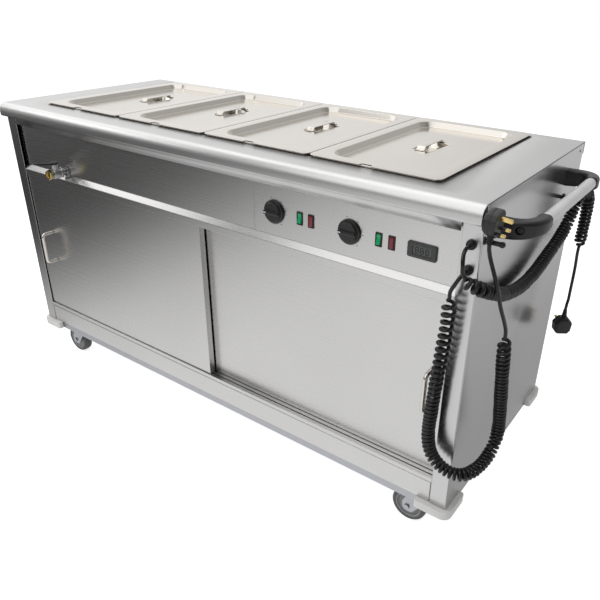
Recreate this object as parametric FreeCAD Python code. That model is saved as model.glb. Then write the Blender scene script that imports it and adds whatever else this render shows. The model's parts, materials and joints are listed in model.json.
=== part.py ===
import FreeCAD, Part
import math
import os

from FreeCAD import Rotation, Vector

# Mobile servery: a hot cupboard on castors with four lidded pans in its top.
# Millimetres. While it is built, X runs along the body from its left end, Y back from the
# face of the corner posts and Z up from the floor. The last lines move it to its own frame.

# body
body_length = 1556.0  # over the two end panels
body_depth = 614.0  # from the face of the posts to the back
worktop_height = 900.0
sheet = 1.5  # thickness of the body's sheet metal
bend = 1.5  # inside radius of a fold
gap = 0.3  # between pieces that only seat on each other
post_width = 42.0  # front return of an end panel
rear_flange = 20.0  # rear return of an end panel
foot_flange = 25.0  # bottom return of an end panel

# worktop
nose_radius = 20.0  # half-round front edge
nose_reach = 30.0  # front of the nose, ahead of the posts
nose_strip = 19.0  # height of the strip below the nose
nose_slot = 3.0  # between that strip and each post
rear_lip = 30.0

# front above the doors
fascia_setback = 10.0  # fascia face behind the post face
fascia_drop = 43.0  # top of the fascia below the worktop
fascia_height = 138.7
panel_seam = 524.0  # seam between fascia and control panel, from the right post's face
header_setback = 1.0
ledge_fall = 15.0  # height of the sloping ledge
header_face = 18.0  # height of the header's upright face
header_upstand = 22.0  # behind the fascia

# control panel, places from the body's right end and below the worktop
control_drop = 124.4
knob_places = (504.7, 298.2)
knob_skirt = 25.0  # radius
knob_skirt_thickness = 4.0
knob_hub = 20.5  # radius
knob_depth = 21.0
knob_bar_width = 11.0
spindle = 3.0  # radius
spindle_fit = 0.05
spindle_reach = 20.0  # behind the panel
thermostat_width = 38.0
thermostat_height = 44.0
switch_places = (431.3, 225.8)
neon_places = (399.9, 194.7)
switch_width = 16.0
switch_height = 31.0
bezel_rim = 1.8
bezel_proud = 2.0
switch_reach = 22.0  # housing behind the panel
switch_well = 10.0  # well's bottom behind the panel
rocker_tilt = 8.0  # degrees either way
rocker_depth = 3.0  # rocker's pivot behind the panel's face
display_place = 124.5
display_width = 70.0
display_height = 33.0
display_window = (41.0, 18.0)

# drain tap
tap_place = 240.0
tap_drop = 173.5
tap_radius = 12.0
tap_reach = 45.0
tap_shank = 6.0  # radius
tap_nut_length = 10.0
tap_pivot_reach = 20.0
lever_length = 60.0
lever_width = 13.0
lever_thickness = 4.0

# cupboard
ceiling_drop = 194.0
bottom_track_height = 12.0
track_depth = 45.0
groove_depth = 8.0
groove_width = 3.5
fin_thickness = 2.5
top_track_height = 20.0
rib_half = 1.0  # half thickness of the rib between the doors
skirt_setback = 1.0
shelf_height = 235.0  # above the cupboard's floor
shelf_rail = 20.0
shelf_setback = 15.0  # behind the tracks
floor_rise = 60.0  # cupboard floor above the bottom of the body

# doors
door_thickness = 18.0
door_front = 4.0  # left door's face behind the post face
door_spacing = 22.0  # from the left door's face to the right door's face
door_overlap = 50.0  # of the two doors in the middle
door_skin = 1.2
door_behind_post = 2.0
door_drop = 1.0  # door's bottom above the bottom track
door_top_play = 6.5  # door's top below the top track
door_travel = 320.0
handle_insets = (82.0, 40.0)  # wire handles from the outer edges of the left and right doors
handle_span = 96.0
handle_reach = 42.0
handle_wire = 5.0  # radius
handle_height = 300.0  # its middle above the bottom of the body

# pans and lids
pan_count = 4
pan_width = 325.0
pan_length = 530.0
pan_pitch = 327.0
pan_depth = 150.0
pan_setback = 61.25  # pans' front edge behind the post face
pan_rim = 12.0  # flat rim round the pan's body
pan_taper = 12.0
pan_wall = 1.0
pan_rim_height = 5.7  # rim's top above its lower edge
pan_corner = 16.0
pan_body_corner = 55.0
lid_wall = 1.0
lid_flat = 31.0  # width of the lid's flat border
lid_slope = 9.0
lid_recess = 14.0
lid_corner = 45.0
lid_notch = 28.0
lid_notch_depth = 11.0
lid_notch_shift = 12.0
dish_radius = 55.0
dish_depth = 8.0
dish_shift = 8.0
dish_back = 28.0
strap_width = 24.0
strap_length = 124.0
strap_rise = 8.0
pan_lift = 200.0
lid_lift = 200.0

# water bath
bath_margin = 17.0  # bath wall outside the worktop's opening
bath_depth = 180.0
opening_margin = 9.0  # pans' edges outside the worktop's opening
bar_width = 20.0
bar_height = 14.0
bar_seat = 6.0
heater_radius = 4.0
heater_spread = 90.0
heater_clip = 8.0

# chassis and castors
chassis_height = 22.0
chassis_setback = 4.0
chassis_wall = 2.0
chassis_flange = 30.0
castor_height = 138.0
castor_inset_x = 84.0
castor_inset_y = 81.0
castor_trail = 42.0
wheel_radius = 48.0
wheel_width = 30.0
tyre_thickness = 11.0
axle_radius = 4.0
running_fit = 0.05
plate_length = 104.0
plate_width = 86.0
plate_thickness = 3.0
raceway_radius = 27.0
raceway_height = 13.0
king_pin = 5.0  # radius
fork_thickness = 2.5
fork_crown = 26.0  # half length
bumper_proud = 13.0
bumper_leg = 90.0
bumper_corner = 22.0

# push handle on the right end
tube_radius = 12.5
tube_offset = 65.5  # tube's axis from the end panel
tube_drop = 57.0  # tube's axis below the worktop
bracket_front = 83.0  # front bracket's root behind the post face
bracket_back = 97.0  # back bracket's root in front of the back
bracket_bend = 50.0
bracket_root = (34.0, 40.0)
bracket_end = 15.0  # radius
bracket_straight = 20.0
tube_socket = 18.0
bracket_bolt = 6.5  # radius of the bolt's recess
bolt_share = 0.6  # its place along the bracket's reach
bolt_drop = 4.0  # below the tube's axis
bolt_depth = 4.0  # recess floor past the bracket's middle

# hooks for the leads
hook_wire = 4.7  # radius
hook_front = (8.4, 71.0)  # behind the post face, below the worktop
hook_front_reach = 34.0
hook_ball = 6.0  # radius of the front hook's end
hook_back = (507.0, 115.2)
hook_back_reach = 68.0
hook_tip = 14.0

# mains leads
lead_wire = 4.0  # radius
coil_mean = 11.0  # radius of the curls, to the wire's middle
gland_drops = (133.0, 81.0)  # lead A's and lead B's glands below the worktop
gland_radius = 10.0
gland_reach = 14.0
plug_width = 48.0
plug_height = 48.0
plug_thickness = 26.0
boot_length = 22.0
earth_pin = (4.0, 8.0, 22.7)
line_pin = (6.35, 4.0, 17.7)
pin_spacing = 22.2

# worked out from the sizes above
body_bottom = castor_height + chassis_height
under_top = worktop_height - sheet
rear_overhang = sheet + bend + gap
fascia_top = worktop_height - fascia_drop
fascia_bottom = fascia_top - fascia_height
ledge_top = fascia_bottom - gap - bend / 2
header_top_edge = ledge_top - ledge_fall
header_bottom = header_top_edge - header_face
ceiling_z = worktop_height - ceiling_drop
fascia_back = fascia_setback + sheet
upstand_back = fascia_back + sheet
floor_z = body_bottom + floor_rise
track_top = floor_z + bottom_track_height
shelf_front = track_depth + shelf_setback
top_track_z = ceiling_z - sheet
door_bottom = track_top + door_drop
door_top = top_track_z - door_top_play
left_door_x = (post_width - door_behind_post, (body_length + door_overlap) / 2)
right_door_x = ((body_length - door_overlap) / 2, body_length - post_width + door_behind_post)
door_faces = (door_front, door_front + door_spacing)
seam_x = body_length - post_width - panel_seam
control_z = worktop_height - control_drop
knob_x = [body_length - place for place in knob_places]
switch_x = [body_length - place for place in switch_places]
neon_x = [body_length - place for place in neon_places]
display_x = body_length - display_place
rocker_pivot = fascia_setback + rocker_depth
tap_z = worktop_height - tap_drop
handle_z = body_bottom + handle_height
pan_left = (body_length - pan_pitch * (pan_count - 1) - pan_width) / 2
pan_centres = [pan_left + pan_width / 2 + pan_pitch * i for i in range(pan_count)]
pan_middle = pan_setback + pan_length / 2
pan_seat = worktop_height + gap
pan_top = pan_seat + pan_rim_height
lid_seat = pan_top + gap
opening_x = (pan_left + opening_margin, body_length - pan_left - opening_margin)
opening_y = (pan_setback + opening_margin, pan_setback + pan_length - opening_margin)
bath_x = (opening_x[0] - bath_margin, opening_x[1] + bath_margin)
bath_y = (opening_y[0] - bath_margin, opening_y[1] + bath_margin)
bath_bottom = under_top - bath_depth
castor_places = [(x, y) for x in (castor_inset_x, body_length - castor_inset_x)
                 for y in (castor_inset_y, body_depth - castor_inset_y)]
tube_x = body_length + tube_offset
tube_z = worktop_height - tube_drop
bracket_roots = (bracket_front, body_depth - bracket_back)
bracket_ends = (bracket_roots[0] + bracket_bend + bracket_straight,
                bracket_roots[1] - bracket_bend - bracket_straight)
gland_x = body_length - post_width / 2
gland_z = [worktop_height - drop for drop in gland_drops]
front_reach = tap_pivot_reach + lever_length
handle_side = tube_offset + bracket_end

# the frame's origin is on the floor, under the middle of the box of all but the leads
origin = Vector((body_length + handle_side - bumper_proud) / 2,
                (body_depth + bumper_proud - front_reach) / 2, 0)


def box(x, y, z):
    """A block between two limits on each axis."""
    return Part.makeBox(x[1] - x[0], y[1] - y[0], z[1] - z[0], Vector(x[0], y[0], z[0]))


def rod(radius, start, end):
    """A round bar between two points."""
    start, end = Vector(*start), Vector(*end)
    return Part.makeCylinder(radius, (end - start).Length, start, end - start)


def join(first, *others):
    """Several touching solids made one."""
    return first.fuse(list(others)).removeSplitter()


def corner_arc(before, corner, after, radius):
    """Start, middle and end of the arc that rounds a corner with a radius."""
    back = (before - corner).normalize()
    ahead = (after - corner).normalize()
    half = back.getAngle(ahead) / 2
    run = radius / math.tan(half)
    middle = corner + (back + ahead).normalize() * (radius / math.sin(half) - radius)
    return corner + back * run, middle, corner + ahead * run


def outline(points, radii, closed=True):
    """A wire of straight runs whose corners are rounded, each with its own radius."""
    count = len(points)
    marks = []
    for i, corner in enumerate(points):
        if radii[i] > 0:
            marks.append(corner_arc(points[i - 1], corner, points[(i + 1) % count], radii[i]))
        else:
            marks.append((corner, None, corner))
    edges = []
    for i, (start, middle, end) in enumerate(marks):
        if middle is not None:
            edges.append(Part.Arc(start, middle, end).toShape())
        if i == count - 1 and not closed:
            break
        following = marks[(i + 1) % count][0]
        if (following - end).Length > 1e-6:
            edges.append(Part.LineSegment(end, following).toShape())
    return Part.Wire(edges)


def on_plane(plane, a, b, c):
    """The point at a and b on a plane, c along its normal."""
    return {"xy": Vector(a, b, c), "xz": Vector(a, c, b), "yz": Vector(c, a, b)}[plane]


def plate(plane, points, limits, radii=None):
    """A flat shape on a plane, as thick as its two limits say."""
    corners = [on_plane(plane, a, b, limits[0]) for a, b in points]
    face = Part.Face(outline(corners, radii or [0] * len(points)))
    return face.extrude(on_plane(plane, 0, 0, limits[1] - limits[0]))


def turn_at(points, i):
    """Which way a line turns at a point: positive to the left."""
    (ax, ay), (bx, by), (cx, cy) = points[i - 1], points[i], points[i + 1]
    return (bx - ax) * (cy - by) - (by - ay) * (cx - bx)


def moved_line(points, distance):
    """A line's points moved sideways, to the left for a positive distance."""
    moved = []
    for i, (x, y) in enumerate(points):
        normals = []
        for a, b in ((i - 1, i), (i, i + 1)):
            if a >= 0 and b < len(points):
                run = (points[b][0] - points[a][0], points[b][1] - points[a][1])
                size = math.hypot(*run)
                normals.append((-run[1] / size, run[0] / size))
        first, last = normals[0], normals[-1]
        share = distance / (1 + first[0] * last[0] + first[1] * last[1])
        moved.append((x + (first[0] + last[0]) * share, y + (first[1] + last[1]) * share))
    return moved


def folded(plane, points, limits, thickness=sheet, side=1, outer=None):
    """A folded strip: its line on a plane, its sheet to the left or right of that line."""
    outer = outer or bend + thickness
    inside = moved_line(points, side * thickness)
    near, far = [0], [0]
    for i in range(1, len(points) - 1):
        sheet_inside = turn_at(points, i) * side > 0
        near.append(outer if sheet_inside else outer - thickness)
        far.append(outer - thickness if sheet_inside else outer)
    near.append(0)
    far.append(0)
    return plate(plane, points + inside[::-1], limits, near + far[::-1])


def pipe(points, radii, radius):
    """A round bar that follows straight runs joined by arcs."""
    points = [Vector(*p) for p in points]
    path = outline(points, radii, closed=False)
    ring = Part.Wire(Part.makeCircle(radius, points[0], points[1] - points[0]))
    return path.makePipeShell([ring], True, False)


def rounded_rectangle(centre, size, radius, z):
    """A flat rounded rectangle's wire at a height."""
    (cx, cy), (w, d) = centre, (size[0] / 2, size[1] / 2)
    corners = [Vector(cx - w, cy - d, z), Vector(cx + w, cy - d, z),
               Vector(cx + w, cy + d, z), Vector(cx - w, cy + d, z)]
    return outline(corners, [radius] * 4)


def tapered(centre, low, high):
    """A solid between two rounded rectangles, each given as size, radius and height."""
    return Part.makeLoft([rounded_rectangle(centre, *low), rounded_rectangle(centre, *high)], True, True)


def mirrored(shape, middle):
    """A shape mirrored end for end about a plane across X."""
    return shape.mirror(Vector(middle, 0, 0), Vector(1, 0, 0))


# ---- body ----

def worktop():
    """The top sheet: rolled nose, strip under it between the posts, opening and rear lip."""
    back = body_depth + rear_overhang
    low = worktop_height - 2 * nose_radius
    line = [(back, worktop_height - rear_lip), (back, worktop_height),
            (-nose_reach, worktop_height), (-nose_reach, low)]
    roll = nose_radius
    section = []
    for end in ([(-gap, low)], [(0, low), (0, low - nose_strip)]):
        points = line + end
        inner = moved_line(points, sheet)
        near = [0, bend + sheet, roll, roll] + [0] * len(end)
        far = [0, bend, roll - sheet, roll - sheet] + [0] * len(end)
        section.append((points + inner[::-1], near + far[::-1]))
    slot = post_width + nose_slot
    whole = plate("yz", section[0][0], (0, body_length), section[0][1])
    middle = plate("yz", section[1][0], (slot, body_length - slot), section[1][1])
    hole = box(opening_x, opening_y, (under_top - 1, worktop_height + 1))
    return join(whole, middle).cut(hole)


def end_panel():
    """The left end: side, front post and rear return folded from one sheet, with a foot."""
    line = [(post_width, 0), (0, 0), (0, body_depth), (rear_flange, body_depth)]
    wall = folded("xy", line, (body_bottom, under_top), side=-1)
    foot = box((sheet / 2, foot_flange), (2 * bend, body_depth - 2 * bend), (body_bottom, body_bottom + sheet))
    return join(wall, foot)


def end_panel_right():
    """The right end, with holes for the two glands."""
    panel = mirrored(end_panel(), body_length / 2)
    for z in gland_z:
        panel = panel.cut(rod(gland_radius * 0.6 + gap, (gland_x, -1, z), (gland_x, sheet + 1, z)))
    return panel


def back_panel():
    """The back, inside the end panels' rear returns, folded in along its foot."""
    y = body_depth - sheet
    line = [(y, under_top), (y, body_bottom + sheet), (y - foot_flange, body_bottom + sheet)]
    inset = foot_flange + gap
    edge = sheet + bend
    wall = box((edge, body_length - edge), (y - sheet, y), (body_bottom + 2 * bend, under_top))
    return join(wall, folded("yz", line, (inset, body_length - inset), side=-1))


def front_fascia():
    """The long plain panel above the left door, folded back along its top."""
    return folded_fascia(post_width + gap, seam_x - gap).cut(
        rod(tap_shank + gap, (tap_place, 0, tap_z), (tap_place, fascia_back + 1, tap_z)))


def folded_fascia(start, end):
    """A front panel with a fold along its top that reaches back to the water bath."""
    line = [(fascia_setback, fascia_bottom), (fascia_setback, fascia_top), (bath_y[0] - gap, fascia_top)]
    return folded("yz", line, (start, end), side=-1)


def control_panel():
    """The panel that carries the knobs, switches and display, pierced for each."""
    panel = folded_fascia(seam_x + gap, body_length - post_width - gap)
    through = (fascia_setback - 1, fascia_back + 1)
    for x in knob_x:
        panel = panel.cut(rod(spindle * 2 + gap, (x, through[0], control_z), (x, through[1], control_z)))
    for x in switch_x + neon_x:
        panel = panel.cut(centred(x, through, control_z, switch_width - 2 * bezel_rim + 2 * gap,
                                  switch_height - 2 * bezel_rim + 2 * gap))
    return panel.cut(centred(display_x, through, control_z, display_window[0] + 8, display_window[1] + 4))


def centred(x, y, z, width, height):
    """A block centred on the front at x and z, between two limits along Y."""
    return box((x - width / 2, x + width / 2), y, (z - height / 2, z + height / 2))


def header_rail():
    """Upstand behind the fascia, sloping ledge and the face that covers the doors' top."""
    line = [(fascia_back, ledge_top + header_upstand), (fascia_back, ledge_top),
            (header_setback, header_top_edge), (header_setback, header_bottom)]
    rail = folded("yz", line, (post_width + gap, body_length - post_width - gap))
    return rail.cut(rod(tap_shank + gap, (tap_place, fascia_setback, tap_z), (tap_place, upstand_back + 1, tap_z)))


def base_tray():
    """Cupboard floor, with the skirt under the doors folded down from its front edge."""
    line = [(foot_flange, body_bottom), (skirt_setback, body_bottom), (skirt_setback, floor_z),
            (body_depth - 2 * sheet, floor_z)]
    edge = post_width + nose_slot
    tray = folded("yz", line, (edge, body_length - edge), side=-1)
    sides = box((sheet, body_length - sheet), (sheet + 2 * bend, body_depth - 2 * sheet), (floor_z - sheet, floor_z))
    return join(tray, sides)


def cupboard_ceiling():
    """The sheet over the cupboard, between the header, the back and the two ends."""
    return box((sheet, body_length - sheet), (upstand_back, body_depth - 2 * sheet), (ceiling_z, ceiling_z + sheet))


def door_middle(i):
    """Y of a door's middle plane."""
    return door_faces[i] + door_thickness / 2


def door_tracks():
    """Grooved bottom track on the cupboard floor, and top track with a rib between the doors."""
    ends = (post_width + gap, body_length - post_width - gap)
    bottom = box(ends, (skirt_setback + sheet + bend, track_depth), (floor_z, track_top))
    lip = box(ends, (0, skirt_setback + sheet + bend), (floor_z + skirt_setback + gap, track_top))
    bottom = join(bottom, lip)
    for i in (0, 1):
        middle = door_middle(i)
        groove = (middle - groove_width / 2, middle + groove_width / 2)
        bottom = bottom.cut(box((ends[0] - 1, ends[1] + 1), groove, (track_top - groove_depth, track_top + 1)))
    top = box(ends, (fascia_setback, track_depth + sheet), (top_track_z, ceiling_z))
    between = (door_faces[0] + door_thickness + door_faces[1]) / 2
    rib_bottom = top_track_z - top_track_height
    for y in ((between - rib_half, between + rib_half), (track_depth, track_depth + sheet)):
        top = join(top, box(ends, y, (rib_bottom, top_track_z + sheet / 2)))
    return [bottom, top]


def shelf():
    """The cupboard's shelf, folded down along its front and back."""
    z = floor_z + shelf_height
    front, back = shelf_front, body_depth - 2 * sheet - gap
    line = [(front, z - shelf_rail), (front, z), (back, z), (back, z - shelf_rail)]
    return folded("yz", line, (sheet + gap, body_length - sheet - gap), side=-1)


def shelf_brackets():
    """An angle on each end panel and one on the back panel, under the shelf."""
    z = floor_z + shelf_height - sheet
    line = [(sheet, z - shelf_rail), (sheet, z), (sheet + shelf_rail, z)]
    edge = sheet + bend + gap
    front, back = shelf_front + edge, body_depth - 2 * sheet - gap - edge
    left = folded("xz", line, (front, back), side=-1)
    return [left, mirrored(left, body_length / 2)]


# ---- water bath, pans and lids ----

def bath():
    """The water bath that hangs under the worktop, with its drain hole."""
    outer = box(bath_x, bath_y, (bath_bottom, under_top))
    inner = box((bath_x[0] + sheet, bath_x[1] - sheet), (bath_y[0] + sheet, bath_y[1] - sheet),
                (bath_bottom + sheet, under_top + 1))
    drain = rod(tap_shank + gap, (tap_place, bath_y[0] - 1, tap_z), (tap_place, bath_y[0] + sheet + 1, tap_z))
    return outer.cut(inner).cut(drain)


def pan_bars():
    """The bars between the pans, welded under the worktop at both ends."""
    bars = []
    for left, right in zip(pan_centres, pan_centres[1:]):
        middle = (left + right) / 2
        x = (middle - bar_width / 2, middle + bar_width / 2)
        low = box(x, (opening_y[0] - bar_seat, opening_y[1] + bar_seat), (under_top - bar_height, under_top))
        top = box(x, (opening_y[0] + gap, opening_y[1] - gap), (under_top - 1, worktop_height))
        bars.append(join(low, top))
    return bars


def hairpin(x, y, z):
    """A heating element: two runs along X joined by a half turn, ends on the wall at x[1]."""
    spread = (y - heater_spread / 2, y + heater_spread / 2)
    points = [(x[1], spread[0], z), (x[0], spread[0], z), (x[0], spread[1], z), (x[1], spread[1], z)]
    turn = heater_spread / 2 - 1
    return pipe(points, [0, turn, turn, 0], heater_radius)


def heaters():
    """Two elements in the water bath and one on the cupboard's floor, each on clips."""
    elements = []
    bath_floor = bath_bottom + sheet
    rows = [(bath_floor, opening_y[0] + 130), (bath_floor, opening_y[1] - 130), (floor_z, body_depth - 140)]
    for floor, y in rows:
        end = bath_x[1] - sheet if floor == bath_floor else body_length - sheet
        z = floor + heater_clip + heater_radius
        element = hairpin((bath_x[0] + 160, end), y, z)
        for x in (bath_x[0] + 360, bath_x[1] - 260):
            for side in (-heater_spread / 2, heater_spread / 2):
                element = join(element, box((x, x + 12), (y + side - 5, y + side + 5), (floor, z)))
        elements.append(element)
    return elements


def pan(x):
    """A deep pan: flat rim turned down at its edge, tapered body with large corners."""
    centre = (x, pan_middle)
    rim = (pan_width, pan_length)
    body = (pan_width - 2 * pan_rim, pan_length - 2 * pan_rim)
    floor = (body[0] - 2 * pan_taper, body[1] - 2 * pan_taper)
    bottom = pan_top - pan_depth
    flange = tapered(centre, (rim, pan_corner, pan_seat), (rim, pan_corner, pan_top))
    inside = (rim[0] - 2 * pan_wall, rim[1] - 2 * pan_wall)
    under = tapered(centre, (inside, pan_corner - pan_wall, pan_seat - 1),
                    (inside, pan_corner - pan_wall, pan_top - pan_wall))
    outer = tapered(centre, (floor, pan_body_corner, bottom), (body, pan_body_corner, pan_top))
    less = 2 * pan_wall
    corner = pan_body_corner - pan_wall
    inner = tapered(centre, ((floor[0] - less, floor[1] - less), corner, bottom + pan_wall),
                    ((body[0] - less, body[1] - less), corner, pan_top + 1))
    return join(flange.cut(under), outer).cut(inner)


def strap(x, y, z):
    """A lid's welded strap handle, which bridges the dish in the lid's middle."""
    half = strap_length / 2
    foot = half - 14
    line = [(y - half, z), (y - foot, z), (y - foot + 14, z + strap_rise),
            (y + foot - 14, z + strap_rise), (y + foot, z), (y + half, z)]
    return folded("yz", line, (x - strap_width / 2, x + strap_width / 2))


def lid(x):
    """A pressed lid: flat border with a ladle notch, sunk middle, round dish and strap."""
    centre = (x, pan_middle)
    edge = (pan_width, pan_length)
    top = lid_seat + lid_wall
    low = lid_seat - lid_recess
    outer = (edge[0] - 2 * lid_flat, edge[1] - 2 * lid_flat)
    inner = (outer[0] - 2 * lid_slope, outer[1] - 2 * lid_slope)
    plate_top = tapered(centre, (edge, pan_corner, lid_seat), (edge, pan_corner, top))
    well = tapered(centre, ((inner[0] + 2, inner[1] + 2), lid_corner, low), ((outer[0] + 2, outer[1] + 2), lid_corner, top))
    hollow = tapered(centre, (inner, lid_corner - 1, low + lid_wall), (outer, lid_corner - 1, top + 1))
    dish_at = Vector(x - dish_shift, pan_middle + dish_back, low - dish_depth)
    dish = Part.makeCone(dish_radius - 8, dish_radius, dish_depth + lid_wall / 2, dish_at)
    scoop = Part.makeCone(dish_radius - 9, dish_radius - 1, dish_depth + lid_wall, dish_at + Vector(0, 0, lid_wall))
    notch_x = x - lid_notch_shift
    front = pan_middle - edge[1] / 2
    notch = box((notch_x - lid_notch / 2, notch_x + lid_notch / 2), (front - 1, front + lid_notch_depth),
                (lid_seat - 1, top + 1))
    shell = join(plate_top, well, dish).cut(hollow).cut(scoop).cut(notch)
    return [shell, strap(dish_at.x, dish_at.y, low + lid_wall)]


# ---- drain ----

def drain_pipe():
    """The pipe from the bath's wall through the fascia to the tap."""
    outside = rod(tap_shank, (tap_place, 0, tap_z), (tap_place, bath_y[0] + sheet, tap_z))
    return outside.cut(rod(tap_shank - sheet, (tap_place, -1, tap_z), (tap_place, bath_y[0] + sheet + 1, tap_z)))


def tap_body():
    """The tap's barrel with the boss that holds its lever, and the outlet nut."""
    start, nut = 0, tap_reach - tap_nut_length
    barrel = rod(tap_radius, (tap_place, start, tap_z), (tap_place, -nut, tap_z))
    boss_top = tap_z + tap_radius + 6
    boss = rod(tap_radius - 3, (tap_place, -tap_pivot_reach, tap_z), (tap_place, -tap_pivot_reach, boss_top))
    bore = rod(axle_radius + running_fit, (tap_place, -tap_pivot_reach, tap_z), (tap_place, -tap_pivot_reach, boss_top + 1))
    ring = [(math.cos(math.radians(60 * i)), math.sin(math.radians(60 * i))) for i in range(6)]
    size = tap_radius - 1.5
    corners = [(tap_place + size * c, tap_z + size * s) for c, s in ring]
    outlet = plate("xz", corners, (-tap_reach, -nut)).cut(
        rod(tap_shank, (tap_place, -tap_reach - 1, tap_z), (tap_place, -nut - 2, tap_z)))
    return [join(barrel, boss).cut(bore), outlet]


def tap_lever():
    """The tap's lever, with the stem that turns in the boss."""
    low = tap_z + tap_radius + 6 + gap
    hub = rod(tap_radius - 3, (tap_place, -tap_pivot_reach, low), (tap_place, -tap_pivot_reach, low + lever_thickness + 2))
    stem = rod(axle_radius, (tap_place, -tap_pivot_reach, low - 10), (tap_place, -tap_pivot_reach, low + 1))
    tip = -tap_pivot_reach - lever_length
    half = lever_width / 2
    points = [(tap_place - half * 0.7, -tap_pivot_reach), (tap_place - half, tip),
              (tap_place + half, tip), (tap_place + half * 0.7, -tap_pivot_reach)]
    blade = plate("xy", points, (low, low + lever_thickness), [0, half - 0.5, half - 0.5, 0])
    return join(hub, stem, blade)


# ---- controls ----

def knob(x):
    """A control knob: skirt, hub and raised bar, with the spindle that it turns."""
    back = fascia_setback - 2 * gap
    skirt = rod(knob_skirt, (x, back, control_z), (x, back - knob_skirt_thickness, control_z))
    hub_front = back - knob_skirt_thickness - 5
    hub = Part.makeCone(knob_hub, knob_hub - 2, 5, Vector(x, back - knob_skirt_thickness, control_z), Vector(0, -1, 0))
    reach = knob_hub - 1
    half = knob_bar_width / 2
    points = [(x - reach, control_z - half), (x + reach, control_z - half),
              (x + reach, control_z + half), (x - reach, control_z + half)]
    bar = plate("xz", points, (back - knob_depth, hub_front + 1), [half - 0.5] * 4)
    shaft = rod(spindle, (x, back - 1, control_z), (x, fascia_back + spindle_reach, control_z))
    return join(skirt, hub, bar, shaft)


def thermostats():
    """The two thermostats behind the knobs, each with a bush for its spindle."""
    bodies = []
    for x in knob_x:
        body = centred(x, (fascia_back, bath_y[0] - 3), control_z, thermostat_width, thermostat_height)
        bush = rod(spindle * 2, (x, fascia_setback, control_z), (x, fascia_back + 1, control_z))
        bore = rod(spindle + spindle_fit, (x, 0, control_z), (x, fascia_back + spindle_reach + 1, control_z))
        bodies.append(join(body, bush).cut(bore))
    return bodies


def switch_housings():
    """Four black housings with a rim on the panel: two hold rockers and two hold lamps."""
    bodies = []
    for x in switch_x + neon_x:
        rim = centred(x, (fascia_setback - bezel_proud, fascia_setback), control_z, switch_width, switch_height)
        body = centred(x, (fascia_setback, fascia_back + switch_reach), control_z,
                       switch_width - 2 * bezel_rim, switch_height - 2 * bezel_rim)
        well = centred(x, (fascia_setback - bezel_proud - 1, fascia_back + switch_well), control_z,
                       switch_width - 4 * bezel_rim + 2, switch_height - 4 * bezel_rim + 2)
        bodies.append(join(rim, body).cut(well))
    return bodies


def rocker(x):
    """A rocker with a shallow V face, tilted to its off position about its pivot."""
    width = switch_width - 4 * bezel_rim + 2 - 2 * gap
    half = (switch_height - 4 * bezel_rim + 2) / 2 - 1.6
    front = fascia_setback - bezel_proud - 1.5
    points = [(front - 1, control_z - half), (front + 1.2, control_z), (front - 1, control_z + half),
              (rocker_pivot + 1, control_z + half), (rocker_pivot + 4, control_z), (rocker_pivot + 1, control_z - half)]
    body = plate("yz", points, (x - width / 2, x + width / 2))
    body.rotate(Vector(x, rocker_pivot, control_z), Vector(1, 0, 0), -rocker_tilt)
    return body


def neon_lamps():
    """The two red indicator lenses in their housings."""
    lenses = []
    for x in neon_x:
        width = switch_width - 4 * bezel_rim + 2 - 2 * gap
        height = switch_height - 4 * bezel_rim + 2 - 2 * gap
        lens = centred(x, (fascia_setback - bezel_proud - 1.5, fascia_back + switch_well), control_z, width, height)
        lenses.append(lens)
    return lenses


def display():
    """The small display: its frame on the panel, sunk window and box behind."""
    half_w, half_h = display_width / 2, display_height / 2
    points = [(display_x - half_w, control_z - half_h), (display_x + half_w, control_z - half_h),
              (display_x + half_w, control_z + half_h), (display_x - half_w, control_z + half_h)]
    frame = plate("xz", points, (fascia_setback - 4, fascia_setback), [5] * 4)
    behind = centred(display_x, (fascia_setback, fascia_back + switch_well), control_z,
                     display_window[0] + 8 - 2 * gap, display_window[1] + 4 - 2 * gap)
    window = centred(display_x, (fascia_setback - 5, fascia_setback - 2.5), control_z, *display_window)
    return join(frame, behind).cut(window)


# ---- doors ----

def door(i):
    """A sliding door: a tray and a back skin, with the fin that runs in the bottom track."""
    x = (left_door_x, right_door_x)[i]
    y = (door_faces[i], door_faces[i] + door_thickness)
    z = (door_bottom, door_top)
    tray = box(x, y, z).cut(box((x[0] + door_skin, x[1] - door_skin), (y[0] + door_skin, y[1] + 1),
                                (z[0] + door_skin, z[1] - door_skin)))
    skin = box((x[0] + door_skin, x[1] - door_skin), (y[1] - door_skin, y[1]), (z[0] + door_skin, z[1] - door_skin))
    middle = door_middle(i)
    fin = box((x[0] + 20, x[1] - 20), (middle - fin_thickness / 2, middle + fin_thickness / 2),
              (track_top - groove_depth + gap, door_bottom + door_skin / 2))
    return [join(tray, fin), skin]


def door_handle(i):
    """A wire handle bent to a D, standing on the door's face."""
    x = left_door_x[0] + handle_insets[0] if i == 0 else right_door_x[1] - handle_insets[1]
    face = door_faces[i]
    out = face - handle_reach + handle_wire
    low, high = handle_z - handle_span / 2, handle_z + handle_span / 2
    return pipe([(x, face, low), (x, out, low), (x, out, high), (x, face, high)], [0, 12, 12, 0], handle_wire)


# ---- chassis and castors ----

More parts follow.
